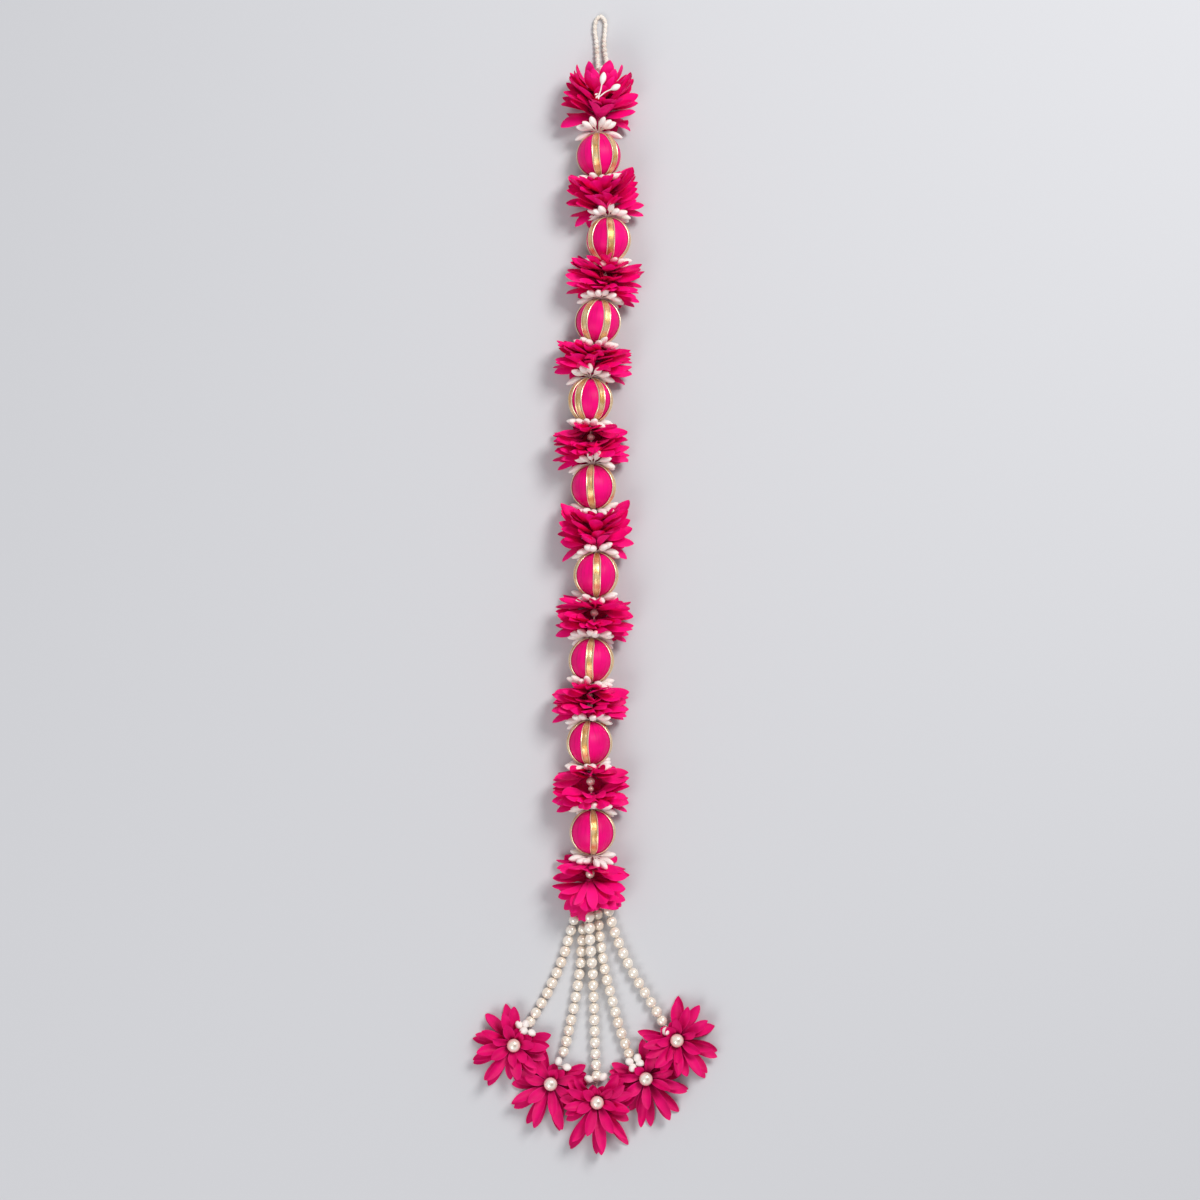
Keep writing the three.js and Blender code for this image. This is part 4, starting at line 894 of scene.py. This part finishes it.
# How much shorter the front petals are, on the outer discs at the top and at the foot.
KIND_CUTS = {"crown": (0.3, 0.15), "two beads": (0.15, 0.3), "plain": (0.15, 0.3)}
BEAD_CUT = 0.75  # the same, on the discs between two beads
OUTER_SHARE = 0.6  # a disc further out than this share of the half stack is an outer one
ROOT_DIP, CROWN_DIP = 20, 30
KNOT_HANG = 52
BEAD_TURNS = np.array([[24, 30], [-12, -20]])  # of root and tip by a bead, in front and elsewhere
DISCS = 8
HUB_ROOM, HUB_HALF = 1.3, 0.5  # the room between a bud ring and the nearest hub, and half a hub
HUB_FROM_BALL = COLLAR_MIDDLE + COLLAR_HALF + HUB_ROOM + HUB_HALF
FREE_SPAN = 12.6
PETALS_PER_DISC = 9
PETAL_LENGTH = 27.0
PETAL_HALF_WIDTH = 4.9


def stack_half(i):
    """Half the room between two bud rings, or the free span of the two end flowers."""
    if i in (0, len(BALLS)):
        return FREE_SPAN
    return (ball_lengths[i] - ball_lengths[i - 1]) / 2 - HUB_FROM_BALL


def disc_offsets(i):
    """Even steps up the string, counted over what the beads leave free."""
    half, shown = stack_half(i), sorted(FLOWERS[i][1])
    free = 2 * half - sum(2 * radius for _, radius in shown)
    offsets = np.linspace(0, free, DISCS) - half
    for middle, radius in shown:
        offsets = np.where(offsets > middle - radius, offsets + 2 * radius, offsets)
    return offsets[::-1]


# %% The petals of one flower
def toward(value, goal, share):
    """value + share (goal - value)."""
    return value + share * (goal - value)


def bead_turns(shown, offset, front):
    """How a petal's root and tip turn at the beads: in front away from a bead, and elsewhere in
    behind it. Both fade with the gap g between disc and bead, as exp(-(g / 2.6)^2) in front."""
    turns = np.zeros(2)
    for middle, radius in shown:
        gap = max(0.0, abs(offset - middle) - radius)
        weights = math.exp(-((gap / 2.6) ** 2)) * front, math.exp(-((gap / 5) ** 2)) * (1 - front)
        turns += math.copysign(1, offset - middle) * np.dot(weights, BEAD_TURNS)
    return turns


def flower_petals(i):
    """The lean at the tip is read off the flower's row. At the root the outer discs dip by 20
    share^3 degrees, and by up to 50 in front of a crown. In front, petals also part round the
    beads and rise over the buds. A side petal turns its face to the eye, by sin(angle)."""
    leans, shown = FLOWERS[i]
    crown, last = i in CROWNS, i == len(BALLS)
    kind = "crown" if crown else "two beads" if len(shown) == 2 else "plain"
    top_root, low_root, low_tip = KIND_LEANS[kind]
    top_cut, low_cut = KIND_CUTS[kind]
    draw = np.random.default_rng(100 + i)
    half = stack_half(i)
    rows = []
    for disc, offset in enumerate(disc_offsets(i)):
        place = string_place(flower_lengths[i] - offset)
        share = offset / half
        between = len(shown) == 2 and shown[1][0] < offset < shown[0][0]
        first = (disc % 2) * 180 / PETALS_PER_DISC + 6 + draw.uniform(-5, 5)
        for k in range(PETALS_PER_DISC):
            angle = first + k * 360 / PETALS_PER_DISC + draw.uniform(-5, 5)
            facing = math.cos(math.radians(angle))
            # both are 1 right in front: front fades soon, and wide only near the sides
            front, wide = max(0.0, facing) ** 3, min(1.0, max(0.0, 1.6 * facing))
            end = np.interp(-share, [-1, -0.5, 0, 0.5, 1], leans) + draw.uniform(-12, 12)
            dip = ROOT_DIP + CROWN_DIP * front * crown
            start = -dip * share**3 + leans[2] * 0.3 * (1 - abs(share)) + draw.uniform(-5, 5)
            length = PETAL_LENGTH + draw.uniform(-2.0, 1.0)
            start, end = bead_turns(shown, offset, front) + (start, end)
            if between:  # short, so that both beads show
                length *= 1 - BEAD_CUT * front
            if crown:
                end += front * draw.uniform(-28, 6) * (share < OUTER_SHARE)
            if i > 0:  # the tip stays below the ball above
                rise = math.degrees(math.asin(min(1.0, (half + (5 if crown else 1) - offset) / length)))
                end = toward(end, min(end, 2 * rise - start), wide)
            if last and share > OUTER_SHARE and facing < 0:  # behind, up along the ball
                start, end = start - 34 * facing, end - 30 * facing
            if i == 0 and share > 0.5:
                start = -20 + draw.uniform(-4, 4)
            elif share > OUTER_SHARE:  # in front, under the buds above
                length *= 1 - top_cut * front
                if not crown:
                    start = toward(start, top_root, front)
                    end = toward(end, min(end, 6 + 0.3 * leans[0]), front)
            elif share < -OUTER_SHARE and not last:  # in front, over the buds below
                start, end = toward(start, low_root, wide), toward(end, low_tip, wide)
                length *= 1 - low_cut * front
            elif share < 0.1 and last:  # hanging down over the knot, and open in front of it
                if share < -0.7 and front > 0.55:
                    continue
                end -= KNOT_HANG * front * (1 + 0.5 * share)
                start = 0.5 * end
                length *= 1 - 0.45 * front * abs(share) - 0.25 * max(0.0, abs(share) - 0.2)
            out = around(place, 0.0, 1.0, angle) - place[0]
            below = min(1.0, max(0.0, (-out[2] - 0.3) / 0.5))
            length *= 1 - below * (0.2 if abs(share) > 0.7 else 0.34)
            sign = 1.0 if end >= 0 else -1.0
            leaning = sign * place[1]
            ruffle = 0 if crown else 2.8 * front * draw.choice([-1, 1])
            cup = draw.uniform(0.8, 2.2) + ruffle
            width = PETAL_HALF_WIDTH + 0.4 * crown + draw.uniform(-0.5, 0.4)
            twist = (0.95 if crown else 0.65) * math.sin(math.radians(angle)) + draw.uniform(-0.35, 0.35)
            rows.append((
                place[0], out, leaning, unit(leaning * [1, 1, 0]), (sign * start, sign * end),
                length, width, cup, twist, draw.uniform(-1.6, 1.6),
            ))
    return petals_of(rows)


# %% The flowers' hubs and petals
DISC_HALF, DISC_RADIUS = 0.4, 3.4  # of the middle that a disc's petals grow from
for i in range(len(FLOWERS)):
    discs = [string_place(flower_lengths[i] - offset) for offset in disc_offsets(i)]
    hubs = [tube(stub(disc, 0.0, DISC_HALF), DISC_RADIUS, 12) for disc in discs]
    petals = flower_petals(i)
    name, node = f"flower_petals_{i + 1}", f"flower_{i + 1}"
    put_piece(name, [petals] + hubs, petal_material, [node], sharp=60)
    print("flower", i + 1, "has", len(petals[0]), "petals")

# %% [markdown]
# ## The string, its beads and knots
#
# The string itself is a thin thread. Pearl beads keep some of the petal discs apart, and a knot
# closes the string at its head and its foot.

# %% The string, its beads and knots
STRING_RADIUS = 0.7
bead_lengths = [flower_lengths[i] - offset for i, (_, shown) in enumerate(FLOWERS) for offset, _ in shown]
bead_radii = [radius for _, shown in FLOWERS for _, radius in shown]
bead_centres, bead_axes, _, _ = string_place(bead_lengths)
put_piece(
    "string_and_beads",
    [tube(string_line[::10], STRING_RADIUS, 8), beads(bead_centres, bead_axes, bead_radii, 13, 20)],
    pearl.material, ["main_string"],
)
# The knots' slight ridges, which wind round them.
wound = 1 + 0.05 * np.sin(5 * np.linspace(0, 2 * np.pi, 25) + np.linspace(0, 9, 17)[:, None])
knot_grids = []
for centre, length in ((STRING_TOP, 0), (STRING_FOOT, string_lengths[-1])):
    points, uv = beads([centre], [string_place(length)[1]], [KNOT_RADIUS], 17, 24, hole=0.15)
    knot_grids.append((centre + (points - centre) * wound[..., None], uv))
put_piece("string_knots", knot_grids, cord.material)
print(len(bead_radii), "beads on the string")

# %% [markdown]
# ## The two buds on the first flower
#
# Two pointed buds lie on the crown of the first flower. Their thin stems come up from the ring at
# the flower's top, between the petals, and a few tiny stamens stand at the buds' feet.

# %% The two buds on the first flower
TOP_BUDS = [  # foot and tip of each bud
    ((5.0, 368.2, 42.0), (7.6, 381.4, 44.5)),
    ((9.2, 367.4, 41.0), (19.8, 372.0, 42.5)),
]
STAMENS = [
    ((3.6, 365.6, 40.0), (1.2, 362.2, 41.5)),
    ((3.9, 365.8, 40.0), (3.2, 361.4, 42.0)),
    ((3.2, 366.2, 40.0), (0.6, 364.8, 41.5)),
]
STEM_BEND = np.array([3.4, 364.2, 38.5])
RING_UNDER_DISC = 1.4
top_place = string_place(flower_lengths[0] - stack_half(0) - RING_UNDER_DISC)
top_root = top_place[0] + [0, 0, 3.0]


def stem_to(foot, tip):
    """A thin tube from the ring over the bend to the bud's foot, and a little way into the bud."""
    foot, tip = np.array(foot), np.array(tip)
    route = np.array([top_root, STEM_BEND, toward(foot, STEM_BEND, 0.25), foot, toward(foot, tip, 0.2)])
    return tube(even_line(route, 1.5), 0.45, 6, 0.3)


def buds_between(pairs, radii, sides):
    """A bud from each foot to its tip."""
    feet, tips = np.array(pairs).transpose(1, 0, 2)
    return bud_shapes(feet, tips - feet, np.linalg.norm(tips - feet, axis=1), radii, sides)


put_piece(
    "top_buds_pair",
    [
        buds_between(TOP_BUDS, [2.7, 2.6], 12),
        buds_between(STAMENS, [0.8, 0.8, 0.8], 6),
        tube(stub(top_place, 0.0, 0.5), 3.2, 12),
    ]
    + [stem_to(foot, tip) for foot, tip in TOP_BUDS + STAMENS],
    bud.material, ["top_buds"],
)
print("two top buds and", len(STAMENS), "stamens")

# %% [markdown]
# ## The flowers at the strands' ends
#
# These lie face up. Four layers of petals spread from the middle under the large pearl: three wide
# ones, and a small cup inside. Neighbours overlap, so every other flower's petals arch over the
# next one's. The petals that point down the garland are the longest.

# %% The flowers at the strands' ends
# Each layer's number of petals, their leans at root and tip, the same where they pass under and
# over a neighbour, their length, and the layer's height.
TIP_LAYERS = [
    (11, (-12, 0), (-12, 0), (40, -6), 28.5, 0.0),
    (10, (12, 2), (-2, -8), (46, -2), 27.5, 0.5),
    (9, (30, 14), (8, -14), (54, 6), 26.0, 1.0),
    (7, (50, 30), (30, 4), (60, 30), 18.5, 1.7),
]
END_HALF_WIDTH = 4.1
FACING_LENGTH = 26.0
OVER_STRAND_LENGTH = 12.5
HANGING_EXTRA = [6.5, 6.5, 11.05, 6.5, 6.5]  # by how much the lowest petals are longer
NEIGHBOUR_SECTOR = 56
STRAND_SECTOR = 26


def bearing(x, y):
    """The angle of a direction on the floor, anticlockwise from +X, in degrees."""
    return math.degrees(math.atan2(y, x))


def apart(a, b):
    """The smaller angle between two bearings."""
    return abs((a - b + 540) % 360 - 180)


def tip_petals(i):
    """As on the string, but round the vertical, and every petal leans up by its layer's angles."""
    x, y = STRANDS[i]["tip"]
    strand_at = bearing(STRANDS[i]["pearls"][-1][0] - x, STRANDS[i]["pearls"][-1][1] - y)
    others = [STRANDS[j]["tip"] for j in (i - 1, i + 1) if 0 <= j < len(STRANDS)]
    neighbours = [bearing(a - x, b - y) for a, b in others]
    draw = np.random.default_rng(200 + i)
    rows = []
    for layer, (count, lean, low, high, length, height) in enumerate(TIP_LAYERS):
        for k in range(count):
            angle = strand_at + (0.5 + layer * 0.5 + k) * 360 / count + draw.uniform(-6, 6)
            jitter = draw.uniform(-4, 4, 2)
            longer, wider, cup, twist = draw.uniform(-1, 1, 4)
            facing = any(apart(angle, b) < NEIGHBOUR_SECTOR for b in neighbours)
            used = (high if i % 2 == 0 else low) if facing else lean
            over_strand = apart(angle, strand_at) < STRAND_SECTOR
            if over_strand and layer < 2:
                continue
            out = np.array([math.cos(math.radians(angle)), math.sin(math.radians(angle)), 0.0])
            reach = min(length, FACING_LENGTH) if facing else length - HANGING_EXTRA[i] * min(0.0, out[1])
            reach = OVER_STRAND_LENGTH if over_strand else reach
            rows.append((
                (x, y, TIP_HUB + height), out, UP, out, np.array(used) + jitter, reach + 1.2 * longer,
                END_HALF_WIDTH + 0.5 * wider, 1.9 + 0.9 * cup, 0.5 * twist, draw.uniform(-2.2, 2.2),
            ))
    return petals_of(rows)


for i, strand in enumerate(STRANDS):
    x, y = strand["tip"]
    hub = tube(np.array([(x, y, TIP_HUB + k) for k in (-0.5, 1.0, 2.6)]), 3.2, 14)
    petals = tip_petals(i)
    name, node = f"end_flower_{i + 1}", f"tip_flower_{i + 1}"
    put_piece(name, [petals, hub], end_petal_painted_shade_material, [node], sharp=60)
    print("end flower", i + 1, "has", len(petals[0]), "petals")

# %% [markdown]
# ## The floor and the light
#
# The floor is plain and pale. A large soft light from the upper right gives the balls and pearls
# their highlights, and a weaker one opposite keeps the shadows open.

# %% The floor
floor_mesh = bpy.data.meshes.new("floor")
floor_mesh.from_pydata([(-4, -4, 0), (4, -4, 0), (4, 4, 0), (-4, 4, 0)], [], [(0, 1, 2, 3)])
floor_material = bpy.data.materials.new("floor")
floor_material.use_nodes = True
floor_shader = floor_material.node_tree.nodes["Principled BSDF"]
floor_shader.inputs["Base Color"].default_value = linear(206, 206, 208)
floor_shader.inputs["Roughness"].default_value = 0.9
floor_mesh.materials.append(floor_material)
floor = bpy.data.objects.new("floor", floor_mesh)
scene.collection.objects.link(floor)


# %% The light
def soft_light(name, location, target, size, power):
    """A square area light that faces a target point."""
    data = bpy.data.lights.new(name, "AREA")
    data.size = size
    data.energy = power
    lamp = bpy.data.objects.new(name, data)
    lamp.location = location
    aim = np.array(target, float) - np.array(location, float)
    tilt = math.acos(-aim[2] / np.linalg.norm(aim))
    lamp.rotation_euler = (tilt, 0, math.atan2(aim[1], aim[0]) - math.pi / 2)
    scene.collection.objects.link(lamp)


soft_light("key", (1.0, 1.2, 1.8), (0, 0, 0), 0.8, 38)
soft_light("fill", (-0.9, -1.3, 1.7), (0, 0, 0), 1.2, 17)
world = bpy.data.worlds.new("studio")
world.use_nodes = True
world.node_tree.nodes["Background"].inputs["Color"].default_value = (0.92, 0.94, 1.0, 1)
world.node_tree.nodes["Background"].inputs["Strength"].default_value = 0.42
scene.world = world
print("lit")
